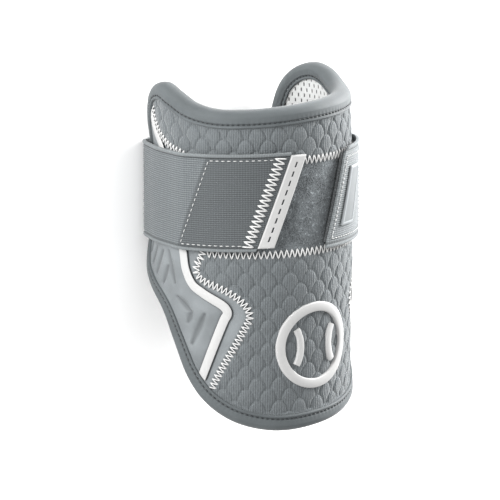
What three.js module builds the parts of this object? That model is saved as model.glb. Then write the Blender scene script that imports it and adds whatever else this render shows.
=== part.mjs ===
// A baseball batter's elbow guard: a padded C-shaped shell that wraps the arm, edged with folded
// binding, faced with quilted panels and held shut by one wide elastic strap. Millimetres, +Z up.
// It lies on its strap as it would on a table: +Z is the guard's front line, +Y its upper-arm end.
import * as THREE from "three";

const DEG = Math.PI / 180;

// Overall form of the shell
const OUTER_RADIUS = 53.2; // outer face of the panels
const GUARD_LENGTH = 182; // lowest tip to the top of the ears
const HALF_WRAP = 130 * DEG; // front line to each free edge
const STRAP_SQUEEZE = 4.4; // how far the strap pulls the free edges in
const SQUEEZE_REACH = 34; // distance along the arm over which that pull fades
const SQUEEZE_START = 0.7; // share of HALF_WRAP where it begins
const EAR_FLARE = 2.4; // how far the ears lean out at their top
const FLARE_WRAP = { start: 0.45, full: 0.85 }; // shares of HALF_WRAP
const FLARE_RISE = { start: 0.8, full: 1 }; // shares of GUARD_LENGTH

// Layers of the shell, and the clearance kept between neighbours
const GAP = 0.3;
const LAYER_GAP = 0.4; // between the shell's own layers
const LINING_THICKNESS = 1.0;
const PAD_THICKNESS = 3.4;
const PANEL_THICKNESS = 1.8;
const SIDE_PANEL_DROP = 0.6; // the moulded side panels lie this much below the quilted ones

// Folded edge binding
const TAPE_THICKNESS = 1.2;
const BINDING_WIDTH = 9;
const ROLL_DEPTH = 3.6; // how far the rounded edge reaches in from the outline
const PAD_INSET = 2.6; // edge of the pad, inside the fold
const PANEL_INSET = 4.0; // edge of the lining and the panels, inside the fold

// Elastic strap and what is on it
const STRAP_WIDTH = 50.8;
const STRAP_THICKNESS = 1.6;
const STRAP_CENTRE = 121.2; // above the lowest tip
const STRAP_LOW = STRAP_CENTRE - STRAP_WIDTH / 2;
const STRAP_HIGH = STRAP_CENTRE + STRAP_WIDTH / 2;
const FRONT_END = { low: -36 * DEG, high: -17 * DEG };
const SIDE_END = { low: 4.5 * DEG, high: 22 * DEG };
const FRONT_RISE = 1.6; // how far the front end climbs from the strap's level
const RISE_START = -95 * DEG; // where that climb begins
const HOOK_THICKNESS = 1.6;
const HOOK_MARGIN = 3; // hook pads stop this far inside the strap's edges
const FRONT_HOOK_LENGTH = 41;
const SIDE_HOOK_LENGTH = 36;
const TAB_WIDTH = 8;
const TAB_THICKNESS = 2.2;
const TAB_MARGIN = 1.5;
const BADGE_WIDTH = 11;
const BADGE_HEIGHT = 30;
const BADGE_THICKNESS = 0.8;
const BADGE_MARGIN = 7; // from the strap's slanted end to the badge

// Loop field under the strap, between the two quilted panels
const LOOP_LOW = STRAP_LOW - 1.2;
const LOOP_HIGH = STRAP_HIGH - 3.7;

// White stripes laid along the side panels
const STRIPE_WIDTH = 5.2;
const STRIPE_THICKNESS = 0.8;

// Raised emblem: a plain ball with two seams
const EMBLEM_HEIGHT = 44.5; // centre above the lowest tip
const EMBLEM_RADIUS = 23;
const EMBLEM_STROKE = 5;
const EMBLEM_THICKNESS = 1.2;
const SEAM_STROKE = 3.6;
const SEAM_CLEARANCE = 1.2; // from the seams' ends to the ring
const SEAM_ARC = { centre: 1.25, radius: 0.85 }; // shares of EMBLEM_RADIUS

// The outline, from the lowest tip up the left side, over the left ear and back down the right.
// across is a share of HALF_WRAP, up a share of GUARD_LENGTH.
const WIDEST_UP = 0.69;
const OUTLINE = [
  { across: -0.2, up: 0 },
  { across: -0.385, up: 0.03 },
  { across: -0.515, up: 0.084 },
  { across: -0.598, up: 0.15 },
  { across: -0.677, up: 0.249 },
  { across: -0.755, up: 0.332 },
  { across: -0.862, up: 0.381 },
  { across: -0.955, up: 0.425 },
  { across: -0.992, up: 0.51 },
  { across: -1, up: WIDEST_UP },
  { across: -0.972, up: 0.86 },
  { across: -0.9, up: 0.96 },
  { across: -0.79, up: 0.99 },
  { across: -0.685, up: 0.972 },
  { across: -0.577, up: 0.945 },
  { across: -0.462, up: 0.932 },
  { across: -0.31, up: 0.933 },
  { across: 0, up: 0.945 },
  { across: 0.3, up: 0.954 },
  { across: 0.51, up: 0.967 },
  { across: 0.62, up: 0.99 },
  { across: 0.735, up: 1 },
  { across: 0.85, up: 0.979 },
  { across: 0.93, up: 0.933 },
  { across: 0.978, up: 0.85 },
  { across: 1, up: WIDEST_UP },
  { across: 0.992, up: 0.51 },
  { across: 0.955, up: 0.425 },
  { across: 0.862, up: 0.381 },
  { across: 0.755, up: 0.332 },
  { across: 0.677, up: 0.249 },
  { across: 0.598, up: 0.162 },
  { across: 0.515, up: 0.092 },
  { across: 0.4, up: 0.047 },
  { across: 0.23, up: 0.019 },
  { across: 0.03, up: 0.003 },
];

// Girth of the shell along the arm. radius is a share of OUTER_RADIUS.
const GIRTH = [
  { up: 0, radius: 1 },
  { up: 0.15, radius: 1.008 },
  { up: 0.28, radius: 1.01 },
  { up: 0.46, radius: 1.022 },
  { up: 0.62, radius: 1 },
  { up: 0.84, radius: 1.004 },
  { up: 1, radius: 0.945 },
];

// Where the left side panel meets the quilted panels, from its foot up to the ear.
const SIDE_SEAM = [
  { across: -0.481, up: 0.105 },
  { across: -0.46, up: 0.135 },
  { across: -0.418, up: 0.189 },
  { across: -0.372, up: 0.243 },
  { across: -0.326, up: 0.3 },
  { across: -0.3, up: 0.337 },
  { across: -0.312, up: 0.367 },
  { across: -0.363, up: 0.399 },
  { across: -0.427, up: 0.421 },
  { across: -0.496, up: 0.437 },
  { across: -0.535, up: 0.458 },
  { across: -0.535, up: 0.485 },
  { across: -0.512, up: 0.51 },
  { across: -0.508, up: 0.6 },
  { across: -0.53, up: 0.72 },
  { across: -0.57, up: 0.783 },
  { across: -0.62, up: 0.8 },
  { across: -0.683, up: 0.812 },
  { across: -0.752, up: 0.836 },
  { across: -0.828, up: 0.88 },
  { across: -0.872, up: 0.93 },
];

// Centre line of the left stripe, from its foot up to the ear.
const STRIPE_LINE = [
  { across: -0.516, up: 0.152 },
  { across: -0.41, up: 0.33 },
  { across: -0.396, up: 0.349 },
  { across: -0.407, up: 0.366 },
  { across: -0.505, up: 0.403 },
  { across: -0.556, up: 0.425 },
  { across: -0.59, up: 0.465 },
  { across: -0.612, up: 0.53 },
  { across: -0.755, up: 0.8 },
  { across: -0.836, up: 0.852 },
  { across: -0.9, up: 0.91 },
];

// Mesh density
const BINDING_STEPS = 74;
const ROLL_STEPS = 4;
const FOLD_STEPS = 3;
const SHELL_STEPS = { along: 32, across: 10 };
const SEAM_STEPS = 30;
const FOOT_STEPS = 9;
const LOWER_COLUMNS = 14;
const SIDE_COLUMNS = 8;
const UPPER_ROWS = 3;
const UPPER_STEPS = 18;
const LOOP_COLUMNS = 19;
const BAND_ROWS = 3;
const STRAP_STEPS = 56;
const STRAP_END_STEPS = 4;
const HOOK_STEPS = 12;
const TAB_STEPS = 3;
const BADGE_STEPS = 4;
const EMBLEM_STEPS = 34;
const SEAM_ARC_POINTS = 24;
const STRIPE_STEPS = 26;
const STRIPE_TRIALS = 60; // places along a stripe that are tried for clearance
const CURVE_SAMPLES = 1200;
const RULING_EASE = 0.04; // how much rows draw in towards a panel's edges, as a share
const LAYER_TRIM = 0.008; // share of the outline left off at each free edge
const TIP_TRIM = 0.01; // share of the outline left off on each side of the lowest tip
const STATION_SPACE = 0.3; // least space between a seam's end and its next station, in stations
const STRAIGHT = 1e-3; // turns below this count as straight in the taut loop
const TOUCHING = 1e-6; // slack where a direction meets the end of a loop's edge
const END_MARGIN = 2 * DEG; // from a strap end to its first even station

const STACK = LINING_THICKNESS + PAD_THICKNESS + PANEL_THICKNESS + 2 * LAYER_GAP;
const STRIPE_SEAT = GAP - SIDE_PANEL_DROP;
const STRAP_TOP = GAP + STRAP_THICKNESS;

const lerp = THREE.MathUtils.lerp;
const smoothstep = THREE.MathUtils.smoothstep;

// A place on the laid-out shell: x runs round the arm at the outer face, y along the arm.
function laidOut({ across, up }) {
  return new THREE.Vector3(across * HALF_WRAP * OUTER_RADIUS, up * GUARD_LENGTH, 0);
}

function mirrored(points) {
  return points.map((p) => new THREE.Vector3(-p.x, p.y, 0));
}

function girthAt(y) {
  const up = y / GUARD_LENGTH;
  const next = GIRTH.findIndex((row) => row.up >= up);
  if (next === 0) return GIRTH[0].radius;
  if (next < 0) return GIRTH.at(-1).radius;
  const [low, high] = [GIRTH[next - 1], GIRTH[next]];
  return lerp(low.radius, high.radius, smoothstep(up, low.up, high.up));
}

// Radius of the panels' outer face at an angle from the front line and a height along the arm.
function shellRadius(angle, y) {
  const turn = Math.abs(angle) / HALF_WRAP;
  const away = (y - STRAP_CENTRE) / SQUEEZE_REACH;
  const pull = smoothstep(turn, SQUEEZE_START, 1) * Math.exp(-away * away);
  const rise = smoothstep(y / GUARD_LENGTH, FLARE_RISE.start, FLARE_RISE.full);
  const flare = smoothstep(turn, FLARE_WRAP.start, FLARE_WRAP.full) * rise;
  return OUTER_RADIUS * girthAt(y) - STRAP_SQUEEZE * pull + EAR_FLARE * flare;
}

function polar(angle, radius, y) {
  return new THREE.Vector3(radius * Math.sin(angle), y, radius * Math.cos(angle));
}

// A laid-out place wrapped round the arm, raised by lift above the panels' outer face.
function wrapped(place, lift) {
  const angle = place.x / OUTER_RADIUS;
  return polar(angle, shellRadius(angle, place.y) + lift, place.y);
}

function smoothCurve(points, closed = false) {
  const curve = new THREE.CatmullRomCurve3(points, closed, "centripetal");
  curve.arcLengthDivisions = CURVE_SAMPLES;
  return curve;
}

const outline = smoothCurve(OUTLINE.map(laidOut), true);

// A point beside a laid-out curve. Positive distances lie to the right of its direction.
function beside(curve, share, distance) {
  const tangent = curve.getTangentAt(share);
  const point = curve.getPointAt(share);
  return new THREE.Vector3(point.x + tangent.y * distance, point.y - tangent.x * distance, 0);
}

function nearestShare(curve, point) {
  let best = 0;
  for (let i = 0; i <= CURVE_SAMPLES; i++) {
    const share = i / CURVE_SAMPLES;
    const here = curve.getPointAt(share).distanceToSquared(point);
    if (here < curve.getPointAt(best).distanceToSquared(point)) best = share;
  }
  return best;
}

// Points along the outline between two shares, moved in by inset. The outline's inside is on its right.
function outlineRun(from, to, inset, steps) {
  return evenly(from, to, steps).map((share) => beside(outline, ((share % 1) + 1) % 1, inset));
}

// A grid of laid-out places ruled between two runs of as many points, a little closer near both.
function ruled(low, high, steps) {
  const shares = evenly(0, 1, steps).map((t) => t - RULING_EASE * Math.sin(2 * Math.PI * t));
  return low.map((a, i) => shares.map((share) => a.clone().lerp(high[i], share)));
}

function signedVolume(points, faces) {
  const cross = new THREE.Vector3();
  return faces.reduce((sum, [a, b, c]) => sum + points[a].dot(cross.crossVectors(points[b], points[c])), 0);
}

function closedBody(points, faces) {
  const outward = signedVolume(points, faces) > 0;
  const geometry = new THREE.BufferGeometry().setFromPoints(points);
  geometry.setIndex(faces.flatMap(([a, b, c]) => (outward ? [a, b, c] : [a, c, b])));
  geometry.computeVertexNormals();
  return geometry;
}

// Rings of points skinned into one closed body: rings[i][j] joins rings[i + 1][j].
// An open row of rings is capped at both ends by the outline of its first and last ring.
function skinned(rings, closedRow) {
  const count = rings[0].length;
  const faces = [];
  const quad = (a, b, c, d) => faces.push([a, b, c], [a, c, d]);
  const last = closedRow ? rings.length : rings.length - 1;
  for (let i = 0; i < last; i++) {
    const next = (i + 1) % rings.length;
    for (let j = 0; j < count; j++) {
      const turn = (j + 1) % count;
      quad(i * count + j, next * count + j, next * count + turn, i * count + turn);
    }
  }
  if (!closedRow) {
    const end = (rings.length - 1) * count;
    for (let j = 1; j < count / 2; j++) {
      quad(j - 1, j, count - 1 - j, count - j);
      quad(end + j, end + j - 1, end + count - j, end + count - 1 - j);
    }
  }
  return closedBody(rings.flat(), faces);
}

// A sheet of laid-out places given thickness between two lifts.
function sheet(grid, low, high) {
  const rings = grid.map((row) => [
    ...row.map((place) => wrapped(place, high)),
    ...row.map((place) => wrapped(place, low)).reverse(),
  ]);
  return skinned(rings, false);
}

// A strip of even width along a laid-out curve.
function ribbon(curve, width, low, high, steps, from = 0, to = 1) {
  const grid = Array.from({ length: steps + 1 }, (_, i) => {
    const share = lerp(from, to, i / steps);
    return [-width / 2, width / 2].map((side) => beside(curve, share, side));
  });
  return sheet(grid, low, high);
}

// The shell's two full layers are ruled from the lower half of the outline to its upper half.
function shellLayer(inset, low, high) {
  const [left, right] = [-1, 1].map((across) => nearestShare(outline, laidOut({ across, up: WIDEST_UP })));
  const lower = outlineRun(left - LAYER_TRIM, right - 1 + LAYER_TRIM, inset, SHELL_STEPS.along);
  const upper = outlineRun(left + LAYER_TRIM, right - LAYER_TRIM, inset, SHELL_STEPS.along);
  return sheet(ruled(lower, upper, SHELL_STEPS.across), low, high);
}

function lining() {
  return shellLayer(PANEL_INSET, -STACK, -STACK + LINING_THICKNESS);
}

function basePad() {
  const low = -STACK + LINING_THICKNESS + LAYER_GAP;
  return shellLayer(PAD_INSET, low, low + PAD_THICKNESS);
}

const SEAMS = [-1, 1].map((side) => {
  const points = SIDE_SEAM.map(laidOut);
  return { side, curve: smoothCurve(side < 0 ? points : mirrored(points)) };
});
const [LEFT, RIGHT] = SEAMS;

// The seam climbs all the way, so a height has one share of its length.
function shareAtHeight(curve, y) {
  let [low, high] = [0, 1];
  for (let i = 0; i < 30; i++) {
    const middle = (low + high) / 2;
    if (curve.getPointAt(middle).y < y) low = middle;
    else high = middle;
  }
  return low;
}

// A run of a seam between two shares, moved to one side of it: inward is 1 towards the front line.
// The panels on both sides use the same stations, so that their gap stays even.
function seamRun({ side, curve }, from, to, inward) {
  const near = STATION_SPACE / SEAM_STEPS;
  const stations = evenly(0, 1, SEAM_STEPS).filter((share) => share > from + near && share < to - near);
  return [from, ...stations, to].map((share) => beside(curve, share, -side * inward * GAP));
}

function outlineShares({ curve }) {
  return [0, 1].map((end) => nearestShare(outline, curve.getPointAt(end)));
}

function sidePanel(seam) {
  const inner = seamRun(seam, 0, 1, -1);
  const edge = outlineRun(...outlineShares(seam), PANEL_INSET, inner.length - 1);
  return sheet(ruled(edge, inner, SIDE_COLUMNS), -PANEL_THICKNESS, -SIDE_PANEL_DROP);
}

// The lower quilted panel fans out from the lowest tip to its straight top edge.
function lowerPanel() {
  const top = LOOP_LOW - GAP;
  const half = (seam, tip) => {
    const [foot] = outlineShares(seam);
    const climb = seamRun(seam, 0, shareAtHeight(seam.curve, top), 1);
    return [...outlineRun(tip, foot, PANEL_INSET, FOOT_STEPS), ...climb];
  };
  const grid = ruled(half(LEFT, TIP_TRIM), half(RIGHT, 1 - TIP_TRIM), LOWER_COLUMNS);
  grid.at(-1).forEach((place) => place.setY(top));
  return sheet(grid, -PANEL_THICKNESS, 0);
}

// The upper quilted panel lies between the loop field and the top edge, and runs up into both ears.
function upperPanel() {
  const bottom = LOOP_HIGH + GAP;
  const climb = (seam) => seamRun(seam, shareAtHeight(seam.curve, bottom), 1, 1);
  const [left, right] = [climb(LEFT).reverse(), climb(RIGHT)];
  const middle = evenly(0, 1, UPPER_STEPS).slice(1, -1).map((t) => left.at(-1).clone().lerp(right[0], t));
  const low = [...left, ...middle, ...right];
  const high = outlineRun(outlineShares(LEFT)[1], outlineShares(RIGHT)[1], PANEL_INSET, low.length - 1);
  return sheet(ruled(low, high, UPPER_ROWS), -PANEL_THICKNESS, 0);
}

function loopField() {
  const edge = (seam) => {
    const [from, to] = [LOOP_LOW, LOOP_HIGH].map((y) => shareAtHeight(seam.curve, y));
    return seamRun(seam, from, to, 1);
  };
  const grid = ruled(edge(LEFT), edge(RIGHT), LOOP_COLUMNS);
  grid[0].forEach((place) => place.setY(LOOP_LOW));
  grid.at(-1).forEach((place) => place.setY(LOOP_HIGH));
  return sheet(grid, -PANEL_THICKNESS, 0);
}

const leftLine = STRIPE_LINE.map(laidOut);
const STRIPES = [leftLine, mirrored(leftLine)].map((line) => smoothCurve(line));

function distanceToOutline(point) {
  return outline.getPointAt(nearestShare(outline, point)).distanceTo(point);
}

// The stretch of a stripe that is clear of the binding at both ends.
function stripeStretch(line) {
  const clear = evenly(0, 1, STRIPE_TRIALS).filter((share) =>
    [-STRIPE_WIDTH / 2, STRIPE_WIDTH / 2].every(
      (side) => distanceToOutline(beside(line, share, side)) > BINDING_WIDTH + 2 * GAP,
    ),
  );
  return [clear[0], clear.at(-1)];
}

function stripe(line) {
  const [from, to] = stripeStretch(line);
  const top = STRIPE_SEAT + STRIPE_THICKNESS;
  return ribbon(line, STRIPE_WIDTH, STRIPE_SEAT, top, STRIPE_STEPS, from, to);
}

// Cross-section of the folded binding: distance in from the outline, and lift.
function bindingSection() {
  const middle = -STACK / 2;
  const arc = (depth, half, steps) =>
    evenly(0, Math.PI, steps).map((turn) => ({
      inset: ROLL_DEPTH - depth * Math.sin(turn),
      lift: middle + half * Math.cos(turn),
    }));
  const inner = STACK / 2 + LAYER_GAP;
  const outer = inner + TAPE_THICKNESS;
  return [
    { inset: BINDING_WIDTH, lift: middle + outer },
    ...arc(ROLL_DEPTH, outer, ROLL_STEPS),
    { inset: BINDING_WIDTH, lift: middle - outer },
    { inset: BINDING_WIDTH, lift: middle - inner },
    ...arc(ROLL_DEPTH - TAPE_THICKNESS, inner, FOLD_STEPS).reverse(),
    { inset: BINDING_WIDTH, lift: middle + inner },
  ];
}

function bindingRing(share) {
  return bindingSection().map(({ inset, lift }) => wrapped(beside(outline, share, inset), lift));
}

function edgeBinding() {
  return skinned(Array.from({ length: BINDING_STEPS }, (_, i) => bindingRing(i / BINDING_STEPS)), true);
}

// Angle of a slanted strap end at a height across the strap.
function endAngle(end, y) {
  return lerp(end.low, end.high, (y - STRAP_LOW) / STRAP_WIDTH);
}

// How far the strap has climbed from its level at an angle, which may be a turn further on.
function strapClimb(angle) {
  const turned = angle > Math.PI ? angle - 2 * Math.PI : angle;
  const level = turned > FRONT_END.high + TAB_WIDTH / OUTER_RADIUS + END_MARGIN;
  return level ? 0 : FRONT_RISE * smoothstep(turned, RISE_START, FRONT_END.high);
}

// Height of the hook pads where they are between the strap and the shell.
function hookLift(angle) {
  const start = FRONT_END.low - FRONT_HOOK_LENGTH / OUTER_RADIUS;
  const stop = SIDE_END.high + SIDE_HOOK_LENGTH / OUTER_RADIUS;
  return angle > start && angle < stop ? GAP + HOOK_THICKNESS : 0;
}

// What the strap is pulled tight over, seen along the arm: panels, hook pads, stripes and binding.
function strapSupports() {
  const supports = [];
  for (const angle of evenly(-HALF_WRAP, HALF_WRAP, STRAP_STEPS)) {
    for (const y of [STRAP_LOW, STRAP_CENTRE, STRAP_HIGH]) {
      supports.push(polar(angle, shellRadius(angle, y) + hookLift(angle), y));
    }
  }
  const under = (point, margin) => Math.abs(point.y - STRAP_CENTRE) < STRAP_WIDTH / 2 + margin;
  for (let i = 0; i < BINDING_STEPS; i++) {
    const ring = bindingRing(i / BINDING_STEPS);
    if (under(ring[0], BINDING_WIDTH)) supports.push(...ring);
  }
  for (const line of STRIPES) {
    for (const share of evenly(0, 1, STRIPE_STEPS)) {
      const places = [-STRIPE_WIDTH / 2, STRIPE_WIDTH / 2].map((side) => beside(line, share, side));
      const top = STRIPE_SEAT + STRIPE_THICKNESS;
      const edges = places.map((place) => wrapped(place, top + hookLift(place.x / OUTER_RADIUS)));
      if (under(edges[0], STRIPE_WIDTH)) supports.push(...edges);
    }
  }
  return supports.map((p) => new THREE.Vector2(p.x, p.z));
}

// Convex loop round a set of points, by Andrew's monotone chain.
function tautLoop(points) {
  const sorted = [...points].sort((a, b) => a.x - b.x || a.y - b.y);
  const turn = (o, a, b) => (a.x - o.x) * (b.y - o.y) - (a.y - o.y) * (b.x - o.x);
  const chain = (list) => {
    const hull = [];
    for (const p of list) {
      while (hull.length > 1 && turn(hull.at(-2), hull.at(-1), p) < STRAIGHT) hull.pop();
      hull.push(p);
    }
    return hull.slice(0, -1);
  };
  return [...chain(sorted), ...chain(sorted.reverse())];
}

const loop = tautLoop(strapSupports());

// Distance from the arm's axis to the taut loop in a direction, and the loop's outward normal there.
function loopAt(angle) {
  const way = new THREE.Vector2(Math.sin(angle), Math.cos(angle));
  for (let i = 0; i < loop.length; i++) {
    const [a, b] = [loop[i], loop[(i + 1) % loop.length]];
    const edge = b.clone().sub(a);
    const span = way.cross(edge);
    const distance = a.cross(edge) / span;
    const share = a.cross(way) / span;
    if (distance > 0 && share > -TOUCHING && share < 1 + TOUCHING) {
      return { distance, normal: new THREE.Vector2(edge.y, -edge.x).normalize() };
    }
  }
  throw new Error("the strap's loop doesn't close round the arm");
}

// A point on the strap's path, raised above the taut loop.
function strapPoint(angle, y, lift) {
  const { distance, normal } = loopAt(angle);
  const radial = normal.x * Math.sin(angle) + normal.y * Math.cos(angle);
  return polar(angle, distance + lift / radial, y + strapClimb(angle));
}

// A band on the strap's path. angles gives the angles of its columns at a height.
function band(angles, heights, low, high) {
  const columns = angles(heights[0]).length;
  const rings = Array.from({ length: columns }, (_, i) => [
    ...heights.map((y) => strapPoint(angles(y)[i], y, high)),
    ...heights.map((y) => strapPoint(angles(y)[i], y, low)).reverse(),
  ]);
  return skinned(rings, false);
}

function evenly(from, to, steps) {
  return Array.from({ length: steps + 1 }, (_, i) => lerp(from, to, i / steps));
}

// Angles of the taut loop's own corners, from one end of the strap round the back to the other.
function strapAngles(y) {
  const [start, stop] = [SIDE_END.high + END_MARGIN, 2 * Math.PI + FRONT_END.low - END_MARGIN];
  const turned = loop.map((p) => (Math.atan2(p.x, p.y) + 2 * Math.PI) % (2 * Math.PI));
  const corners = turned.filter((angle) => angle > start && angle < stop).sort((a, b) => a - b);
  return [
    ...evenly(endAngle(SIDE_END, y), start, STRAP_END_STEPS),
    ...corners,
    ...evenly(stop, 2 * Math.PI + endAngle(FRONT_END, y), STRAP_END_STEPS),
  ];
}

function strap() {
  return band(strapAngles, evenly(STRAP_LOW, STRAP_HIGH, BAND_ROWS), GAP, STRAP_TOP);
}

// A hook pad under one end of the strap, from its slanted edge back along the strap.
function hookPad(end, length) {
  const heights = evenly(STRAP_LOW + HOOK_MARGIN, STRAP_HIGH - HOOK_MARGIN, BAND_ROWS);
  const back = length / OUTER_RADIUS;
  const angles = (y) => evenly(endAngle(end, y), endAngle(end, y) + back, HOOK_STEPS);
  return band(angles, heights, -HOOK_THICKNESS, 0);
}

function pullTab() {
  const heights = evenly(STRAP_LOW + TAB_MARGIN, STRAP_HIGH - TAB_MARGIN, BAND_ROWS);
  const [clear, width] = [GAP / OUTER_RADIUS, TAB_WIDTH / OUTER_RADIUS];
  const angles = (y) => {
    const start = endAngle(FRONT_END, y) + clear;
    return evenly(start, start + width, TAB_STEPS);
  };
  return band(angles, heights, STRAP_TOP - TAB_THICKNESS, STRAP_TOP);
}

// A plain slanted badge on the strap's other end.
function strapBadge() {
  const heights = evenly(STRAP_CENTRE - BADGE_HEIGHT / 2, STRAP_CENTRE + BADGE_HEIGHT / 2, BAND_ROWS);
  const [near, width] = [BADGE_MARGIN / OUTER_RADIUS, BADGE_WIDTH / OUTER_RADIUS];
  const angles = (y) => {
    const start = endAngle(SIDE_END, y) + near;
    return evenly(start, start + width, BADGE_STEPS);
  };
  const seat = STRAP_TOP + GAP;
  return band(angles, heights, seat, seat + BADGE_THICKNESS);
}

function emblemArc(centreX, radius, from, to) {
  const points = evenly(from, to, SEAM_ARC_POINTS).map((turn) => {
    const [x, y] = [centreX + radius * Math.cos(turn), EMBLEM_HEIGHT + radius * Math.sin(turn)];
    return new THREE.Vector3(x, y, 0);
  });
  return smoothCurve(points);
}

function emblemRing() {
  const middle = EMBLEM_RADIUS - EMBLEM_STROKE / 2;
  const rings = evenly(0, 2 * Math.PI, EMBLEM_STEPS).slice(0, -1).map((turn) => {
    const at = (radius, lift) => {
      const [x, y] = [radius * Math.cos(turn), EMBLEM_HEIGHT + radius * Math.sin(turn)];
      return wrapped(new THREE.Vector3(x, y, 0), lift);
    };
    const [inner, outer] = [middle - EMBLEM_STROKE / 2, middle + EMBLEM_STROKE / 2];
    const [low, high] = [GAP, GAP + EMBLEM_THICKNESS];
    return [at(inner, low), at(outer, low), at(outer, high), at(inner, high)];
  });
  return skinned(rings, true);
}

// One of the ball's two seams, bowed towards the middle of the ring.
function emblemSeam(side) {
  const inside = EMBLEM_RADIUS - EMBLEM_STROKE - SEAM_CLEARANCE - SEAM_STROKE / 2;
  const centre = SEAM_ARC.centre * EMBLEM_RADIUS;
  const radius = SEAM_ARC.radius * EMBLEM_RADIUS;
  const reach = Math.acos((centre ** 2 + radius ** 2 - inside ** 2) / (2 * centre * radius));
  const middle = side > 0 ? Math.PI : 0;
  const arc = emblemArc(side * centre, radius, middle - reach, middle + reach);
  return ribbon(arc, SEAM_STROKE, GAP, GAP + EMBLEM_THICKNESS, EMBLEM_STEPS / 3);
}

function finish(colour, roughness) {
  return new THREE.MeshStandardMaterial({ color: colour, roughness, metalness: 0 });
}

const FABRIC = finish(0x7d8285, 0.85);
const BINDING = finish(0x84898b, 0.8);
const MOULDED = finish(0x8c9294, 0.7);
const LINING = finish(0xe4e5e4, 0.9);
const ELASTIC = finish(0x747a7d, 0.9);
const VELOUR = finish(0x7a7f81, 1);
const WHITE_RUBBER = finish(0xe6e6e4, 0.5);
const HOOK = finish(0x5f6466, 0.9);

const guard = new THREE.Group();

function add(name, geometry, material) {
  const mesh = new THREE.Mesh(geometry, material);
  mesh.name = name;
  guard.add(mesh);
}

add("lining", lining(), LINING);
add("base_pad", basePad(), FABRIC);
add("lower_quilted_panel", lowerPanel(), FABRIC);
add("upper_quilted_panel", upperPanel(), FABRIC);
add("left_side_panel", sidePanel(LEFT), MOULDED);
add("right_side_panel", sidePanel(RIGHT), MOULDED);
add("left_stripe", stripe(STRIPES[0]), WHITE_RUBBER);
add("right_stripe", stripe(STRIPES[1]), WHITE_RUBBER);
add("loop_field", loopField(), VELOUR);
add("edge_binding", edgeBinding(), BINDING);
add("strap", strap(), ELASTIC);
add("front_hook_pad", hookPad(FRONT_END, -FRONT_HOOK_LENGTH), HOOK);
add("side_hook_pad", hookPad(SIDE_END, SIDE_HOOK_LENGTH), HOOK);
add("pull_tab", pullTab(), WHITE_RUBBER);
add("strap_badge", strapBadge(), WHITE_RUBBER);
add("emblem_ring", emblemRing(), WHITE_RUBBER);
add("emblem_left_seam", emblemSeam(-1), WHITE_RUBBER);
add("emblem_right_seam", emblemSeam(1), WHITE_RUBBER);

// The origin is under the middle of the guard, on the surface that it lies on.
const box = new THREE.Box3().setFromObject(guard);
const middle = box.getCenter(new THREE.Vector3());
guard.position.set(-middle.x, -middle.y, -box.min.z);

export default guard;
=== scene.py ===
"""A baseball batter's elbow guard, dressed as a Blender scene. Metres, +Z up, front of the guard up.

The guard is a padded C-shaped shell held shut by one wide elastic strap. Every soft piece is worked out
on two laid-out coordinates: metres round the arm at the panels' outer face, measured from the front
line, and metres along the arm, measured from the lowest tip. wrap() carries such places onto the shell,
and on_strap() carries them onto the strap's path.
"""
import math

import bpy
import numpy as np
from mathutils import Matrix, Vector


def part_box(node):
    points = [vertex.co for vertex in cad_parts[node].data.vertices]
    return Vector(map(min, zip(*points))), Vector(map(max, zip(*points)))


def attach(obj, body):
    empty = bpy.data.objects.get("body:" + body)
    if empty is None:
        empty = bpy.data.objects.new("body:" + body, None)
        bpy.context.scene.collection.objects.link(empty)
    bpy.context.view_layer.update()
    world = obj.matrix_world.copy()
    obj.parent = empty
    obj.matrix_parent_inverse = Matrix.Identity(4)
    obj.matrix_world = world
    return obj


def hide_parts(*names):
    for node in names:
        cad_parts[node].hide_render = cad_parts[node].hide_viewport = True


bl_info = {
    "name": "Elbow Guard",
    "version": (1, 0, 0),
    "blender": (4, 5, 0),
    "location": "View3D > Sidebar > Elbow Guard",
    "description": "Builds the panels, binding, strap, stitches and studio of a batter's elbow guard",
    "category": "Add Mesh",
}

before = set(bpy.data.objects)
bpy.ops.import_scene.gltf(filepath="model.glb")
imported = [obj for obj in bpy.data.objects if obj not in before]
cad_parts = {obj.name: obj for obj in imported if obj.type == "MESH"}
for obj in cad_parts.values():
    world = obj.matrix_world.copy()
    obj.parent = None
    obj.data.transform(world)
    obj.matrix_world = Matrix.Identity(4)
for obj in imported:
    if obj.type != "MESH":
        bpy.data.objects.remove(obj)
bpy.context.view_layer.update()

MM = 0.001
DEG = math.pi / 180
TURN = 2 * math.pi

# Places in one block of a search for the nearest points, and points on a piece of border line
BLOCK = 4096
BORDER_POINTS = 1500
FOOT_POINTS = 200
SEAM_POINTS = 400
TOP_POINTS = 300

# Form of the shell
OUTER_RADIUS = 53.2 * MM
GUARD_LENGTH = 182 * MM
HALF_WRAP = 130 * DEG
STRAP_SQUEEZE = 4.4 * MM
SQUEEZE_REACH = 34 * MM
SQUEEZE_START = 0.7
EAR_FLARE = 2.4 * MM
FLARE_WRAP = (0.45, 0.85)
FLARE_RISE = (0.8, 1)

# Layers of the shell
GAP = 0.3 * MM
LAYER_GAP = 0.4 * MM
LINING_THICKNESS = 1.0 * MM
PAD_THICKNESS = 3.4 * MM
PANEL_THICKNESS = 1.8 * MM
SIDE_PANEL_DROP = 0.6 * MM
STACK = LINING_THICKNESS + PAD_THICKNESS + PANEL_THICKNESS + 2 * LAYER_GAP

# Edge binding
TAPE_THICKNESS = 1.2 * MM
BINDING_WIDTH = 9 * MM
ROLL_DEPTH = 3.6 * MM
PAD_INSET = 2.6 * MM
PANEL_INSET = 4.0 * MM
OUTER_FACE = STACK / 2 + LAYER_GAP + TAPE_THICKNESS

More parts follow.
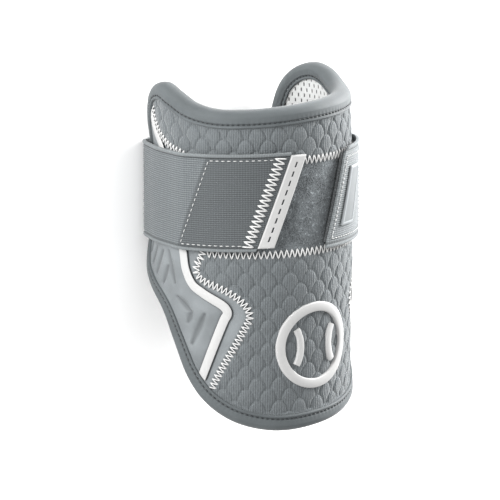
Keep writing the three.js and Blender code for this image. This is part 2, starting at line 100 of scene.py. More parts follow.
# The binding's inner border, measured from it: the rounded lip, the sewn groove, the puckers, the crown
LIP_ROUND = 0.5 * MM
LIP_DROP = 0.45 * MM
SEWN_GROOVE = 0.7 * MM
SEWN_IN = 1.9 * MM
SEWN_REACH = 0.42 * MM
PUCKER_IN = 2.9 * MM
PUCKER_REACH = 1.3 * MM
CROWN_IN = 2.4 * MM
CROWN_RISE = 0.25 * MM

# Strap and what is on it
STRAP_WIDTH = 50.8 * MM
STRAP_THICKNESS = 1.6 * MM
STRAP_CENTRE = 121.2 * MM
STRAP_LOW = STRAP_CENTRE - STRAP_WIDTH / 2
STRAP_HIGH = STRAP_CENTRE + STRAP_WIDTH / 2
STRAP_TOP = GAP + STRAP_THICKNESS
FRONT_END = {"low": -36 * DEG, "high": -17 * DEG}
SIDE_END = {"low": 4.5 * DEG, "high": 22 * DEG}
END_MARGIN = 2 * DEG
FRONT_RISE = 1.6 * MM
RISE_START = -95 * DEG
HOOK_THICKNESS = 1.6 * MM
HOOK_MARGIN = 3 * MM
FRONT_HOOK_LENGTH = 41 * MM
SIDE_HOOK_LENGTH = 36 * MM
TAB_WIDTH = 8 * MM
TAB_THICKNESS = 2.2 * MM
TAB_MARGIN = 1.5 * MM
BADGE_WIDTH = 11 * MM
BADGE_HEIGHT = 30 * MM
BADGE_THICKNESS = 0.8 * MM
BADGE_MARGIN = 7 * MM

# Loop field, stripes and emblem
LOOP_LOW = STRAP_LOW - 1.2 * MM
LOOP_HIGH = STRAP_HIGH - 3.7 * MM
STRIPE_WIDTH = 5.2 * MM
STRIPE_THICKNESS = 0.8 * MM
STRIPE_SEAT = GAP - SIDE_PANEL_DROP
EMBLEM_HEIGHT = 44.5 * MM
EMBLEM_RADIUS = 23 * MM
EMBLEM_STROKE = 5 * MM
EMBLEM_THICKNESS = 1.2 * MM
SEAM_STROKE = 3.6 * MM
SEAM_CLEARANCE = 1.2 * MM

# Outline of the shell: (share of HALF_WRAP across, share of GUARD_LENGTH up), from the lowest tip up
# the left side, over the left ear and back down the right
WIDEST_UP = 0.69
OUTLINE = (
    (-0.2, 0), (-0.385, 0.03), (-0.515, 0.084), (-0.598, 0.15), (-0.677, 0.249), (-0.755, 0.332),
    (-0.862, 0.381), (-0.955, 0.425), (-0.992, 0.51), (-1, WIDEST_UP), (-0.972, 0.86), (-0.9, 0.96),
    (-0.79, 0.99), (-0.685, 0.972), (-0.577, 0.945), (-0.462, 0.932), (-0.31, 0.933), (0, 0.945),
    (0.3, 0.954), (0.51, 0.967), (0.62, 0.99), (0.735, 1), (0.85, 0.979), (0.93, 0.933), (0.978, 0.85),
    (1, WIDEST_UP), (0.992, 0.51), (0.955, 0.425), (0.862, 0.381), (0.755, 0.332), (0.677, 0.249),
    (0.598, 0.162), (0.515, 0.092), (0.4, 0.047), (0.23, 0.019), (0.03, 0.003),
)

# Girth along the arm: (share of GUARD_LENGTH up, share of OUTER_RADIUS)
GIRTH = (
    (0, 1), (0.15, 1.008), (0.28, 1.01), (0.46, 1.022), (0.62, 1), (0.84, 1.004), (1, 0.945),
)

# Seam of the left side panel, from its foot up to the ear, in the outline's shares
SIDE_SEAM = (
    (-0.481, 0.105), (-0.46, 0.135), (-0.418, 0.189), (-0.372, 0.243), (-0.326, 0.3), (-0.3, 0.337),
    (-0.312, 0.367), (-0.363, 0.399), (-0.427, 0.421), (-0.496, 0.437), (-0.535, 0.458), (-0.535, 0.485),
    (-0.512, 0.51), (-0.508, 0.6), (-0.53, 0.72), (-0.57, 0.783), (-0.62, 0.8), (-0.683, 0.812),
    (-0.752, 0.836), (-0.828, 0.88), (-0.872, 0.93),
)

# Centre line of the left stripe, in the outline's shares
STRIPE_LINE = (
    (-0.516, 0.152), (-0.41, 0.33), (-0.396, 0.349), (-0.407, 0.366), (-0.505, 0.403),
    (-0.556, 0.425), (-0.59, 0.465), (-0.612, 0.53), (-0.755, 0.8), (-0.836, 0.852), (-0.9, 0.91),
)

# Pressed grooves of the left side panel, in the outline's shares
GROOVES = (
    ((-0.5, 0.34), (-0.565, 0.25)),
    ((-0.64, 0.38), (-0.565, 0.343), (-0.585, 0.312)),
    ((-0.7, 0.465), (-0.74, 0.412)),
    ((-0.742, 0.505), (-0.805, 0.432)),
    ((-0.7, 0.51), (-0.658, 0.42)),
    ((-0.805, 0.51), (-0.865, 0.452)),
    ((-0.87, 0.53), (-0.91, 0.48)),
)

# How much a pressed groove narrows at its ends
TAPER = 1.2

# Panels rise to just under the binding where it covers their border, over this reach beside it
TUCK_LIFT = LAYER_GAP - 0.1 * MM
TUCK_REACH = 1.8 * MM

# Height and angle of one scale's top on each quilted panel
SCALE_TOPS = {"lower": (2.6 * DEG, 91.2 * MM), "upper": (2.6 * DEG, 160.9 * MM)}

# A scale's height at its middle, as a share of its top's, and the creases behind its rim: their depth over
# the top and beside it, as shares of what they sink into, and their reach in scale radii
SCALE_MIDDLE = 0.6
CREASE_OVER = 0.35
CREASE_BESIDE = 0.8
CREASE_REACH = 0.15


def smoothstep(value, low, high):
    """0 below low, 1 above high, and 3t^2 - 2t^3 between."""
    share = np.clip((value - low) / (high - low), 0, 1)
    return share * share * (3 - 2 * share)


def laid_out(table, side=-1):
    """A table of shares as laid-out places, on the left of the guard (side -1) or mirrored (side 1)."""
    shares = np.array(table, float)
    return shares * (-side * HALF_WRAP * OUTER_RADIUS, GUARD_LENGTH)


def girth(along):
    """Girth at a height: the table's shares joined by smoothsteps."""
    heights, shares = np.array(GIRTH).T
    up = along / GUARD_LENGTH
    row = np.clip(np.searchsorted(heights, up), 1, len(heights) - 1)
    return shares[row - 1] + (shares[row] - shares[row - 1]) * smoothstep(up, heights[row - 1], heights[row])


def shell_radius(angle, along):
    """Radius of the panels' outer face: the girth, less a bell-shaped pull where the strap closes it,
    and with the ears leaning out at their top."""
    turn = np.abs(angle) / HALF_WRAP
    away = (along - STRAP_CENTRE) / SQUEEZE_REACH
    pull = smoothstep(turn, SQUEEZE_START, 1) * np.exp(-away * away)
    flare = smoothstep(turn, *FLARE_WRAP) * smoothstep(along / GUARD_LENGTH, *FLARE_RISE)
    return OUTER_RADIUS * girth(along) - STRAP_SQUEEZE * pull + EAR_FLARE * flare


def arm_axis():
    """Where the arm's axis and the lowest tip lie: the emblem's ring is centred on the front line."""
    low, high = (np.array(corner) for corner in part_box("emblem_ring"))
    turn = np.linspace(0, TURN, 721)
    across, along = EMBLEM_RADIUS * np.cos(turn), EMBLEM_HEIGHT + EMBLEM_RADIUS * np.sin(turn)
    angle = across / OUTER_RADIUS
    crown = (shell_radius(angle, along) + GAP + EMBLEM_THICKNESS) * np.cos(angle)
    middle = (low + high) / 2
    return middle[0], middle[1] - EMBLEM_HEIGHT, high[2] - crown.max()


AXIS_X, TIP_Y, AXIS_Z = arm_axis()


def polar(angle, radius, along):
    """A point at an angle from the front line, a distance from the arm's axis and a height along it."""
    return np.stack(
        [AXIS_X + radius * np.sin(angle), TIP_Y + along + 0 * angle, AXIS_Z + radius * np.cos(angle)], axis=-1
    )


def wrap(places, lift=0.0):
    """Laid-out places on the shell, raised by lift above the panels' outer face."""
    angle = places[..., 0] / OUTER_RADIUS
    return polar(angle, shell_radius(angle, places[..., 1]) + lift, places[..., 1])


def nearest_points(places, points):
    """Index of the point nearest to each place, and the distance to it. Read in blocks, to spare memory."""
    flat = places.reshape(-1, 2)
    best, gaps = np.empty(len(flat), int), np.empty(len(flat))
    for start in range(0, len(flat), BLOCK):
        block = slice(start, start + BLOCK)
        squares = ((flat[block, None] - points[None]) ** 2).sum(-1)
        best[block] = squares.argmin(1)
        gaps[block] = np.sqrt(squares.min(1))
    return best.reshape(places.shape[:-1]), gaps.reshape(places.shape[:-1])


class Path:
    """A smooth line through a few places: a centripetal Catmull-Rom spline, read by share of its length."""

    SAMPLES_PER_SPAN = 32

    def __init__(self, points, closed=False):
        points = np.asarray(points, float)
        if closed:
            chain = np.vstack([points[-1:], points, points[:2]])
        else:
            chain = np.vstack([2 * points[0] - points[1], points, 2 * points[-1] - points[-2]])
        p0, p1, p2, p3 = chain[:-3], chain[1:-2], chain[2:-1], chain[3:]
        spans = ((p0, p1), (p1, p2), (p2, p3))
        d0, d1, d2 = (np.sqrt(np.linalg.norm(b - a, axis=1))[:, None] for a, b in spans)
        leave = ((p1 - p0) / d0 - (p2 - p0) / (d0 + d1) + (p2 - p1) / d1) * d1
        arrive = ((p2 - p1) / d1 - (p3 - p1) / (d1 + d2) + (p3 - p2) / d2) * d1
        t = (np.arange(self.SAMPLES_PER_SPAN) / self.SAMPLES_PER_SPAN)[None, :, None]
        cubic = (-3 * p1 + 3 * p2 - 2 * leave - arrive)[:, None] * t**2
        cubic = cubic + (2 * p1 - 2 * p2 + leave + arrive)[:, None] * t**3
        line = (p1[:, None] + leave[:, None] * t + cubic).reshape(-1, points.shape[1])
        self.closed = closed
        self.points = np.vstack([line, p2[-1:]])
        steps = np.linalg.norm(np.diff(self.points, axis=0), axis=1)
        self.reach = np.concatenate([[0], np.cumsum(steps)])
        self.length = self.reach[-1]
        self.slopes = np.gradient(self.points, self.reach, axis=0)
        if closed:
            self.slopes[0] = self.slopes[-1] = (self.slopes[1] + self.slopes[-2]) / 2

    def _read(self, values, share):
        share = np.mod(share, 1) if self.closed else np.clip(share, 0, 1)
        return np.stack([np.interp(share * self.length, self.reach, v) for v in values.T], axis=-1)

    def at(self, share):
        """Places at shares of the length."""
        return self._read(self.points, share)

    def beside(self, share, distance):
        """Places beside the line. Positive distances lie to the right of its direction."""
        slope = self._read(self.slopes, share)
        slope = slope / np.linalg.norm(slope, axis=-1, keepdims=True)
        sideways = np.stack([slope[..., 1], -slope[..., 0]], axis=-1)
        return self.at(share) + sideways * np.asarray(distance)[..., None]

    def nearest(self, places):
        """Share of the length nearest to each place, and the distance to it."""
        best, gaps = nearest_points(places, self.points)
        return self.reach[best] / self.length, gaps

    def share_at_height(self, along):
        """Share at which a line that climbs all the way reaches a height."""
        first = int(np.argmax(self.points[:, 1] > along))
        low, high = self.points[first - 1, 1], self.points[first, 1]
        part = (along - low) / (high - low)
        return (self.reach[first - 1] + part * (self.reach[first] - self.reach[first - 1])) / self.length


outline = Path(laid_out(OUTLINE), closed=True)
seams = {side: Path(laid_out(SIDE_SEAM, side)) for side in (-1, 1)}
stripes = {side: Path(laid_out(STRIPE_LINE, side)) for side in (-1, 1)}


def resampled(points, count):
    """The same line with evenly spaced points."""
    reach = np.concatenate([[0], np.cumsum(np.linalg.norm(np.diff(points, axis=0), axis=1))])
    even = np.linspace(0, reach[-1], count)
    return np.stack([np.interp(even, reach, v) for v in points.T], axis=-1)


def ruled(low, high, count):
    """Rows of places ruled between two lines of as many points."""
    share = np.linspace(0, 1, count)[None, :, None]
    return low[:, None] * (1 - share) + high[:, None] * share


def seam_run(side, start, stop, inward, count):
    """A run of a side seam between two shares, moved off it by the gap. inward 1 is towards the front."""
    return seams[side].beside(np.linspace(start, stop, count), -side * inward * GAP)


def outline_run(start, stop, inset, count):
    """A run of the outline between two shares, set in by a distance."""
    return outline.beside(np.linspace(start, stop, count), inset)


def seam_ends(side):
    """Shares of the outline nearest to a side seam's foot and its top."""
    return outline.nearest(seams[side].at(np.array([0.0, 1.0])))[0]


# Path of the strap


def hook_lift(angle):
    """How far the hook pads stand off the shell where they lie under the strap."""
    start = FRONT_END["low"] - FRONT_HOOK_LENGTH / OUTER_RADIUS
    stop = SIDE_END["high"] + SIDE_HOOK_LENGTH / OUTER_RADIUS
    return np.where((angle > start) & (angle < stop), GAP + HOOK_THICKNESS, 0.0)


def strap_supports():
    """What the strap is pulled tight over, seen along the arm: panels, hook pads, stripes and binding."""
    angle, along = np.meshgrid(
        np.linspace(-HALF_WRAP, HALF_WRAP, 721), [STRAP_LOW, STRAP_CENTRE, STRAP_HIGH], indexing="ij"
    )
    faces = [polar(angle, shell_radius(angle, along) + hook_lift(angle), along).reshape(-1, 3)]
    share = np.linspace(0, 1, 1200, endpoint=False)
    ring = binding_points(share)
    under = np.abs(ring[:, 0, 1] - TIP_Y - STRAP_CENTRE) < STRAP_WIDTH / 2 + BINDING_WIDTH
    faces.append(ring[under].reshape(-1, 3))
    for line in stripes.values():
        places = np.stack([line.beside(share, side * STRIPE_WIDTH / 2) for side in (-1, 1)])
        top = STRIPE_SEAT + STRIPE_THICKNESS + hook_lift(places[..., 0] / OUTER_RADIUS)
        under = np.abs(places[0, :, 1] - STRAP_CENTRE) < STRAP_WIDTH / 2 + STRIPE_WIDTH
        faces.append(wrap(places, top)[:, under].reshape(-1, 3))
    points = np.vstack(faces)
    return np.stack([points[:, 0] - AXIS_X, points[:, 2] - AXIS_Z])


def taut_loop():
    """Distance to the taut loop by angle. The loop is the edge of all half-planes that hold the supports:
    in a direction it lies at the least of (reach of a half-plane) / (cosine between the two). Returns the
    angles, the distances, the cosines between the loop's normal and the radius, and the way round."""
    supports = strap_supports()
    facing = np.linspace(0, TURN, 2880, endpoint=False)
    normals = np.stack([np.sin(facing), np.cos(facing)], axis=1)
    reach = (normals @ supports).max(axis=1)
    cosines = normals @ normals.T
    distance = np.where(cosines > 0.1, reach[None] / np.maximum(cosines, 0.1), np.inf).min(axis=1)
    turned = np.roll(distance, -1) - np.roll(distance, 1)
    steepness = turned / (2 * (facing[1] - facing[0])) / distance
    points = normals * distance[:, None]
    length = np.linalg.norm(np.diff(points, axis=0), axis=1).sum()
    return facing, distance, 1 / np.sqrt(1 + steepness**2), length


def on_strap(places, lift=0.0):
    """Places on the strap's path, raised by lift above the taut loop. The first coordinate is the angle
    from the front line times the outer radius, and it may run on past a full turn."""
    angle = places[..., 0] / OUTER_RADIUS
    around = np.mod(angle, TURN)
    distance = np.interp(around, LOOP_ANGLES, LOOP_DISTANCES, period=TURN)
    radial = np.interp(around, LOOP_ANGLES, LOOP_COSINES, period=TURN)
    return polar(angle, distance + lift / radial, places[..., 1] + strap_climb(angle))


def strap_climb(angle):
    """How far the strap has climbed from its level at an angle: only its front stretch climbs."""
    turned = np.where(angle > math.pi, angle - TURN, angle)
    front = turned <= FRONT_END["high"] + TAB_WIDTH / OUTER_RADIUS + END_MARGIN
    return np.where(front, FRONT_RISE * smoothstep(turned, RISE_START, FRONT_END["high"]), 0)


def end_angle(end, along):
    """Angle of a slanted strap end at a height along the arm."""
    return end["low"] + (end["high"] - end["low"]) * (along - STRAP_LOW) / STRAP_WIDTH


def beside_end(end, distance):
    """The angle a distance beside a slanted end, as a function of the height along the arm."""
    return lambda along: end_angle(end, along) + distance / OUTER_RADIUS


# Meshes


def grid_faces(rows, columns, first=0):
    """Quads between the neighbouring points of a grid."""
    index = np.arange(rows * columns).reshape(rows, columns) + first
    return np.stack([index[:-1, :-1], index[1:, :-1], index[1:, 1:], index[:-1, 1:]], -1).reshape(-1, 4)


def signed_volume(points, faces):
    """Six times the volume inside closed faces, negative where they point inwards."""
    total = 0.0
    for group in faces:
        a = points[group[:, 0]]
        for corner in range(1, group.shape[1] - 1):
            total += (a * np.cross(points[group[:, corner]], points[group[:, corner + 1]])).sum()
    return total


def new_mesh(name, points, faces, finish, uv, periods=(0, 0), fields=None, sharp=50 * DEG):
    """Puts points and groups of equal-sided faces into a new mesh object, faces outwards.
    uv is one pair per point. A period closes the pattern over the row where a closed surface meets itself.
    fields are extra numbers, one per point."""
    points = points.reshape(-1, 3)
    uv = uv.reshape(-1, 2)
    if signed_volume(points, faces) < 0:
        faces = [group[:, ::-1] for group in faces]
    corner_uv = []
    for group in faces:
        pairs = uv[group].copy()
        for axis, period in enumerate(periods):
            if period:
                far = pairs[..., axis].max(axis=1, keepdims=True) - pairs[..., axis] > period / 2
                pairs[..., axis] += period * far
        corner_uv.append(pairs.reshape(-1, 2))
    corners = np.concatenate([group.ravel() for group in faces])
    counts = np.concatenate([np.full(len(group), group.shape[1]) for group in faces])
    mesh = bpy.data.meshes.new(name)
    mesh.vertices.add(len(points))
    mesh.vertices.foreach_set("co", points.ravel())
    mesh.loops.add(len(corners))
    mesh.loops.foreach_set("vertex_index", corners)
    mesh.polygons.add(len(counts))
    mesh.polygons.foreach_set("loop_start", np.cumsum(counts) - counts)
    mesh.update(calc_edges=True)
    layer = mesh.uv_layers.new(name="cloth")
    layer.data.foreach_set("uv", np.concatenate(corner_uv).ravel())
    for field, values in (fields or {}).items():
        attribute = mesh.attributes.new(field, "FLOAT", "POINT")
        attribute.data.foreach_set("value", np.ascontiguousarray(values, dtype=np.float32).ravel())
    mesh.polygons.foreach_set("use_smooth", np.ones(len(counts), bool))
    mesh.set_sharp_from_angle(angle=sharp)
    if mesh.validate():
        raise RuntimeError(f"{name} has broken faces")
    mesh.materials.append(finish)
    piece = bpy.data.objects.new(name, mesh)
    bpy.context.scene.collection.objects.link(piece)
    return piece


def slab(name, face, back, step, finish, uv, fields=None):
    """A closed sheet from two grids of points: the face in full, and the back on every step-th column.
    The rim joins them, with one many-sided face for each step of columns at the first and last row."""
    rows, columns = face.shape[:2]
    if (columns - 1) % step:
        raise RuntimeError(f"{name}: {columns - 1} columns don't divide by {step}")
    back = back[:, ::step]
    first = rows * columns
    front_index = np.arange(first).reshape(rows, columns)
    back_index = np.arange(back.shape[0] * back.shape[1]).reshape(back.shape[:2]) + first

    def side_rim(front, rear):
        return np.stack([front[1:], front[:-1], rear[:-1], rear[1:]], axis=1)

    def end_rim(front, rear):
        run = np.arange(len(rear) - 1)[:, None] * step + np.arange(step + 1)
        return np.hstack([front[run], rear[1:, None], rear[:-1, None]])

    faces = [
        grid_faces(rows, columns),
        grid_faces(*back.shape[:2], first)[:, ::-1],
        side_rim(front_index[:, 0], back_index[:, 0]),
        side_rim(front_index[:, -1], back_index[:, -1])[:, ::-1],
        end_rim(front_index[0], back_index[0]),
        end_rim(front_index[-1], back_index[-1])[:, ::-1],
    ]
    points = np.vstack([face.reshape(-1, 3), back.reshape(-1, 3)])
    pairs = np.vstack([uv.reshape(-1, 2), uv[:, ::step].reshape(-1, 2)])
    both = {
        key: np.concatenate([values.ravel(), values[:, ::step].ravel()])
        for key, values in (fields or {}).items()
    }
    return new_mesh(name, points, faces, finish, pairs, fields=both)


def ring_faces(turned):
    """Quads between neighbouring stations whose section is already closed by its own first point."""
    quads = [turned[..., :-1, :-1], turned[..., 1:, :-1], turned[..., 1:, 1:], turned[..., :-1, 1:]]
    return np.stack(quads, axis=-1).reshape(-1, 4)


def swept(name, points, finish, uv, closed=False, periods=(0, 0), fields=None):
    """A closed section carried along a line: rows are stations, columns run round the section."""
    rows, columns = points.shape[:2]
    index = np.arange(rows * columns).reshape(rows, columns)
    turned = np.hstack([index, index[:, :1]])
    if closed:
        turned = np.vstack([turned, turned[:1]])
    faces = [ring_faces(turned)]
    if not closed:
        faces += [index[:1], index[-1:, ::-1]]
    return new_mesh(name, points, faces, finish, uv, periods, fields)


def threads(name, place, starts, ends, finish, radius, lift, arch):
    """Stitches: one thin round thread from each start to its end, laid on a surface by place().
    Each is a circle carried along its leg, raised by a half sine, with its radius rounded off at the ends."""
    rings = sides = 6
    share = np.linspace(0, 1, rings)
    flat = starts[:, None] * (1 - share)[None, :, None] + ends[:, None] * share[None, :, None]
    height = lift + arch * np.sin(math.pi * share)[None]
    centre = place(flat, height)
    outward = place(flat, height + MM) - centre
    forward = np.gradient(centre, axis=1)
    sideways = np.cross(forward, outward)
    sideways /= np.linalg.norm(sideways, axis=-1, keepdims=True)
    upward = np.cross(sideways, forward)
    upward /= np.linalg.norm(upward, axis=-1, keepdims=True)
    thin = radius * np.sqrt(np.clip(1.04 - (2 * share - 1) ** 6, 0, 1))[None, :, None, None]
    turn = (np.arange(sides) * TURN / sides)[None, None, :, None]
    around = np.cos(turn) * upward[:, :, None] + np.sin(turn) * sideways[:, :, None]
    points = centre[:, :, None] + thin * around
    count = len(starts)
    index = np.arange(count * rings * sides).reshape(count, rings, sides)
    turned = np.concatenate([index, index[..., :1]], axis=2)
    faces = [ring_faces(turned), index[:, 0], index[:, -1, ::-1]]
    run = np.linalg.norm(ends - starts, axis=-1)[:, None, None] * share[None, :, None]
    uv = np.stack(np.broadcast_arrays(run, turn[..., 0] / TURN * MM), axis=-1)
    return new_mesh(name, points, faces, finish, uv, periods=(0, MM), sharp=math.pi)


def zigzag(path, start, stop, pitch, width):
    """Starts and ends of zigzag legs along a path, swinging to both sides of it."""
    legs = max(2, round((stop - start) * path.length / (pitch / 2)))
    side = np.where(np.arange(legs + 1) % 2, 0.5, -0.5) * width
    points = path.beside(np.linspace(start, stop, legs + 1), side)
    return points[:-1], points[1:]


def dashes(points, pitch, share=0.65):
    """Starts and ends of running stitches along a line of points, the stitch taking a share of each pitch."""
    steps = 20
    length = np.linalg.norm(np.diff(points, axis=0), axis=1).sum()
    count = max(1, round(length / pitch))
    even = resampled(points, count * steps + 1)
    first = np.arange(count) * steps
    skipped = round(steps / 2 * (1 - share))
    return even[first + skipped], even[first + steps - skipped]


def settle(piece, slot, *nodes):
    """Makes a finished piece ride on the guard's one body and hides its solids. slot is not used."""
    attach(piece, "root")
    if nodes:
        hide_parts(*nodes)
    return piece


# Surfaces of the shell


def border_fade(places, reach):
    """0 on a grid's own border, rising to 1 a reach inside it."""
    border = np.vstack([places[0], places[1:-1, -1], places[-1, ::-1], places[-2:0:-1, 0]])
    line = resampled(np.vstack([border, border[:1]]), BORDER_POINTS)
    return smoothstep(nearest_points(places, line)[1], 0, reach)


def tucked(places, lift):
    """The lift of a panel's face, brought up to the binding's underside where the binding covers it."""
    under = 1 - smoothstep(outline.nearest(places)[1], BINDING_WIDTH, BINDING_WIDTH + TUCK_REACH)
    return lift + (TUCK_LIFT - lift) * under


def scale_relief(places, panel, sizes):
    """Rounded scales, from 0 to 1, painted from the highest centre to the lowest, so that each scale's
    top lies over the ones above it. A scale is an oval of radius r: inside, its height is
    (1 - r^5)^0.5 times a lean that lifts its top. Just outside, what lies behind sinks into a crease,
    which is deeper beside the scale than over its top."""
    angle, top = SCALE_TOPS[panel]
    half_length = sizes.scale_length / 2
    across = (places[..., 0] - angle * OUTER_RADIUS) / sizes.scale_pitch
    along = (places[..., 1] - (top - half_length)) / sizes.scale_row
    centres, widths, lengths = [], [], []
    for shift in (0.0, 0.5):
        sideways = across - shift - np.round(across - shift)
        for neighbour in (-1, 0, 1):
            centre = np.round(along - shift) + shift + neighbour
            centres.append(centre)
            widths.append(sideways * sizes.scale_pitch / (sizes.scale_width / 2))
            lengths.append((along - centre) * sizes.scale_row / half_length)
    order = np.argsort(-np.stack(centres), axis=0)
    widths, lengths = (np.take_along_axis(np.stack(values), order, 0) for values in (widths, lengths))
    relief = np.zeros(places.shape[:-1])
    for u, v in zip(widths, lengths):
        radius = np.hypot(u, v)
        own = np.sqrt(np.clip(1 - radius**5, 0, 1)) * (SCALE_MIDDLE + (1 - SCALE_MIDDLE) * v)
        beside = np.abs(u) / np.maximum(radius, 1)
        depth = CREASE_OVER + (CREASE_BESIDE - CREASE_OVER) * beside
        behind = relief * (1 - depth * np.exp(-(((radius - 1) / CREASE_REACH) ** 2)))
        relief = np.where(radius < 1, own, behind)
    return relief


def groove_relief(places, side, half_width):
    """Soft pressed grooves, from 0 to 1: a bell curve of the distance to the nearest groove's legs, which
    is lengthened towards a leg's ends by TAPER times |2t - 1|^3, so that the groove narrows there."""
    closest = np.full(places.shape[:-1], np.inf)
    for groove in GROOVES:
        line = laid_out(groove, side)
        for a, b in zip(line[:-1], line[1:]):
            along = b - a
            share = np.clip(((places - a) @ along) / (along @ along), 0, 1)
            gap = np.linalg.norm(places - a - share[..., None] * along, axis=-1)
            thin = 1 + TAPER * np.abs(2 * share - 1) ** 3
            closest = np.minimum(closest, gap * thin)
    return np.exp(-((closest / half_width) ** 2))


def binding_section(points=22):
    """Section of the folded binding as distance in from the outline and lift: round its edge on half an
    ellipse, flat over both faces. binding_points adds the sewn groove and the thin lip near each inner
    border."""
    inner, outer = OUTER_FACE - TAPE_THICKNESS, OUTER_FACE
    inset = BINDING_WIDTH - (BINDING_WIDTH - ROLL_DEPTH) * np.linspace(0, 1, points)
    turn = np.linspace(0, math.pi, 15)[1:-1]
    back_turn = np.linspace(0, math.pi, 7)[1:-1]
    face = np.stack([inset, np.full(points, outer)], axis=1)
    roll = np.stack([ROLL_DEPTH - ROLL_DEPTH * np.sin(turn), outer * np.cos(turn)], axis=1)
    fold = np.stack(
        [ROLL_DEPTH - (ROLL_DEPTH - TAPE_THICKNESS) * np.sin(back_turn), inner * np.cos(back_turn)], axis=1
    )
    under = np.array([[BINDING_WIDTH, inner], [ROLL_DEPTH, inner]])
    section = np.vstack([face, roll, face[::-1] * (1, -1), under * (1, -1), fold[::-1], under[::-1]])
    return section + (0, -STACK / 2)


def binding_points(share, groove=SEWN_GROOVE, pucker=0.0, stitch=MM):
    """Points of the binding: its section carried along the outline. On both faces a groove sinks between
    the crown and the lip as a narrow bell, the lip rounds off as a parabola, the crown rises as a half
    sine, and beside the groove a cosine puckers the tape between one stitch and the next."""
    inset, lift = binding_section().T
    from_middle = lift + STACK / 2
    side = np.where(np.abs(np.abs(from_middle) - OUTER_FACE) < 1e-6, np.sign(from_middle), 0)
    from_lip = BINDING_WIDTH - inset
    sink = groove * np.exp(-(((from_lip - SEWN_IN) / SEWN_REACH) ** 2))
    sink += LIP_DROP * np.clip(1 - from_lip / LIP_ROUND, 0, 1) ** 2
    over = np.clip((from_lip - CROWN_IN) / (BINDING_WIDTH - CROWN_IN), 0, 1)
    shape = (CROWN_RISE * np.sin(math.pi * over) - sink) * side
    waves = np.cos(TURN * share * outline.length / stitch)[:, None]
    beside_groove = np.exp(-(((from_lip - PUCKER_IN) / PUCKER_REACH) ** 2)) * side
    count = len(share), len(inset)
    places = outline.beside(np.broadcast_to(share[:, None], count), np.broadcast_to(inset, count))
    return wrap(places, lift + shape + pucker * waves * beside_groove)


LOOP_ANGLES, LOOP_DISTANCES, LOOP_COSINES, LOOP_LENGTH = taut_loop()


# Finishes


class Finish:
    """One procedural material: its own shader, and short calls that add nodes and hand back sockets."""

    SHEEN_ROUGHNESS = 0.35

    def __init__(self, name, roughness, specular, sheen=0.0):
        self.material = bpy.data.materials.new(name)
        self.material.use_nodes = True
        self.nodes = self.material.node_tree.nodes
        self.links = self.material.node_tree.links
        self.shader = self.nodes["Principled BSDF"]
        self.shader.inputs["Roughness"].default_value = roughness
        self.shader.inputs["Specular IOR Level"].default_value = specular
        self.shader.inputs["Sheen Weight"].default_value = sheen
        self.shader.inputs["Sheen Roughness"].default_value = self.SHEEN_ROUGHNESS
        self.height = None

    def feed(self, socket, value):
        """Links a socket, or sets it where the value is a plain number or colour."""
        if isinstance(value, bpy.types.NodeSocket):
            self.links.new(value, socket)
        elif hasattr(value, "__len__") and len(value) == 3 and socket.type == "RGBA":
            socket.default_value = (*value, 1)
        else:
            socket.default_value = value

    def node(self, kind, values=(), **settings):
        """Adds a node with its settings, and feeds its sockets by name or number."""
        made = self.nodes.new(kind)
        for key, value in settings.items():
            setattr(made, key, value)
        for key, value in dict(values).items():
            self.feed(made.inputs[key], value)
        return made

    def math(self, operation, *values):
        return self.node("ShaderNodeMath", dict(enumerate(values)), operation=operation).outputs[0]

    def times(self, first, second):
        return self.math("MULTIPLY", first, second)

    def cloth(self):
        """The piece's own laid-out coordinates, in metres, as two sockets."""
        pair = self.node("ShaderNodeUVMap", uv_map="cloth").outputs["UV"]
        split = self.node("ShaderNodeSeparateXYZ", {0: pair})
        return split.outputs["X"], split.outputs["Y"]

    def field(self, name):
        """A number that the mesh holds at each point."""
        return self.node("ShaderNodeAttribute", attribute_name=name).outputs["Fac"]

    def place(self):
        """Object coordinates, in metres."""
        return self.node("ShaderNodeTexCoord").outputs["Object"]

    def ripple(self, coordinate, pitch):
        """A sine from 0 to 1 with one wave a pitch."""
        return self.math("MULTIPLY_ADD", self.math("SINE", self.times(coordinate, TURN / pitch)), 0.5, 0.5)

    def noise(self, size, detail=3.0):
        """Cloudy noise whose clouds are about one size across."""
        values = {"Vector": self.place(), "Scale": 1 / size, "Detail": detail}
        return self.node("ShaderNodeTexNoise", values).outputs["Fac"]

    def clouds(self, size, detail=3.0, low=0.3, high=0.7):
        """The same noise with more contrast, from 0 to 1."""
        return self.ramp(self.noise(size, detail), low, high)

    def dots(self, size):
        """Distance to the nearest of scattered points, in shares of their spacing."""
        values = {"Vector": self.place(), "Scale": 1 / size}
        return self.node("ShaderNodeTexVoronoi", values, feature="F1").outputs["Distance"]

    def ramp(self, value, low, high):
        """0 below low and 1 above high, smoothed between."""
        values = {"Value": value, "From Min": low, "From Max": high}
        return self.node("ShaderNodeMapRange", values, interpolation_type="SMOOTHSTEP").outputs["Result"]

    def mix(self, share, first, second):
        """A colour between two. Sockets 6, 7 and 2 are the colour ones of the node's many."""
        return self.node("ShaderNodeMix", {0: share, 6: first, 7: second}, data_type="RGBA").outputs[2]

    def colour(self, value):
        self.feed(self.shader.inputs["Base Color"], value)

    def emboss(self, height, depth):
        """Adds a height map, depth metres from its lowest to its highest."""
        values = {"Height": height, "Distance": depth, "Strength": 1.0}
        if self.height:
            values["Normal"] = self.height
        self.height = self.node("ShaderNodeBump", values).outputs["Normal"]

    def done(self):
        if self.height:
            self.links.new(self.height, self.shader.inputs["Normal"])
        return self.material


def shade(colour, factor):
    """A colour made lighter or darker."""
    return tuple(min(1.0, channel * factor) for channel in colour)


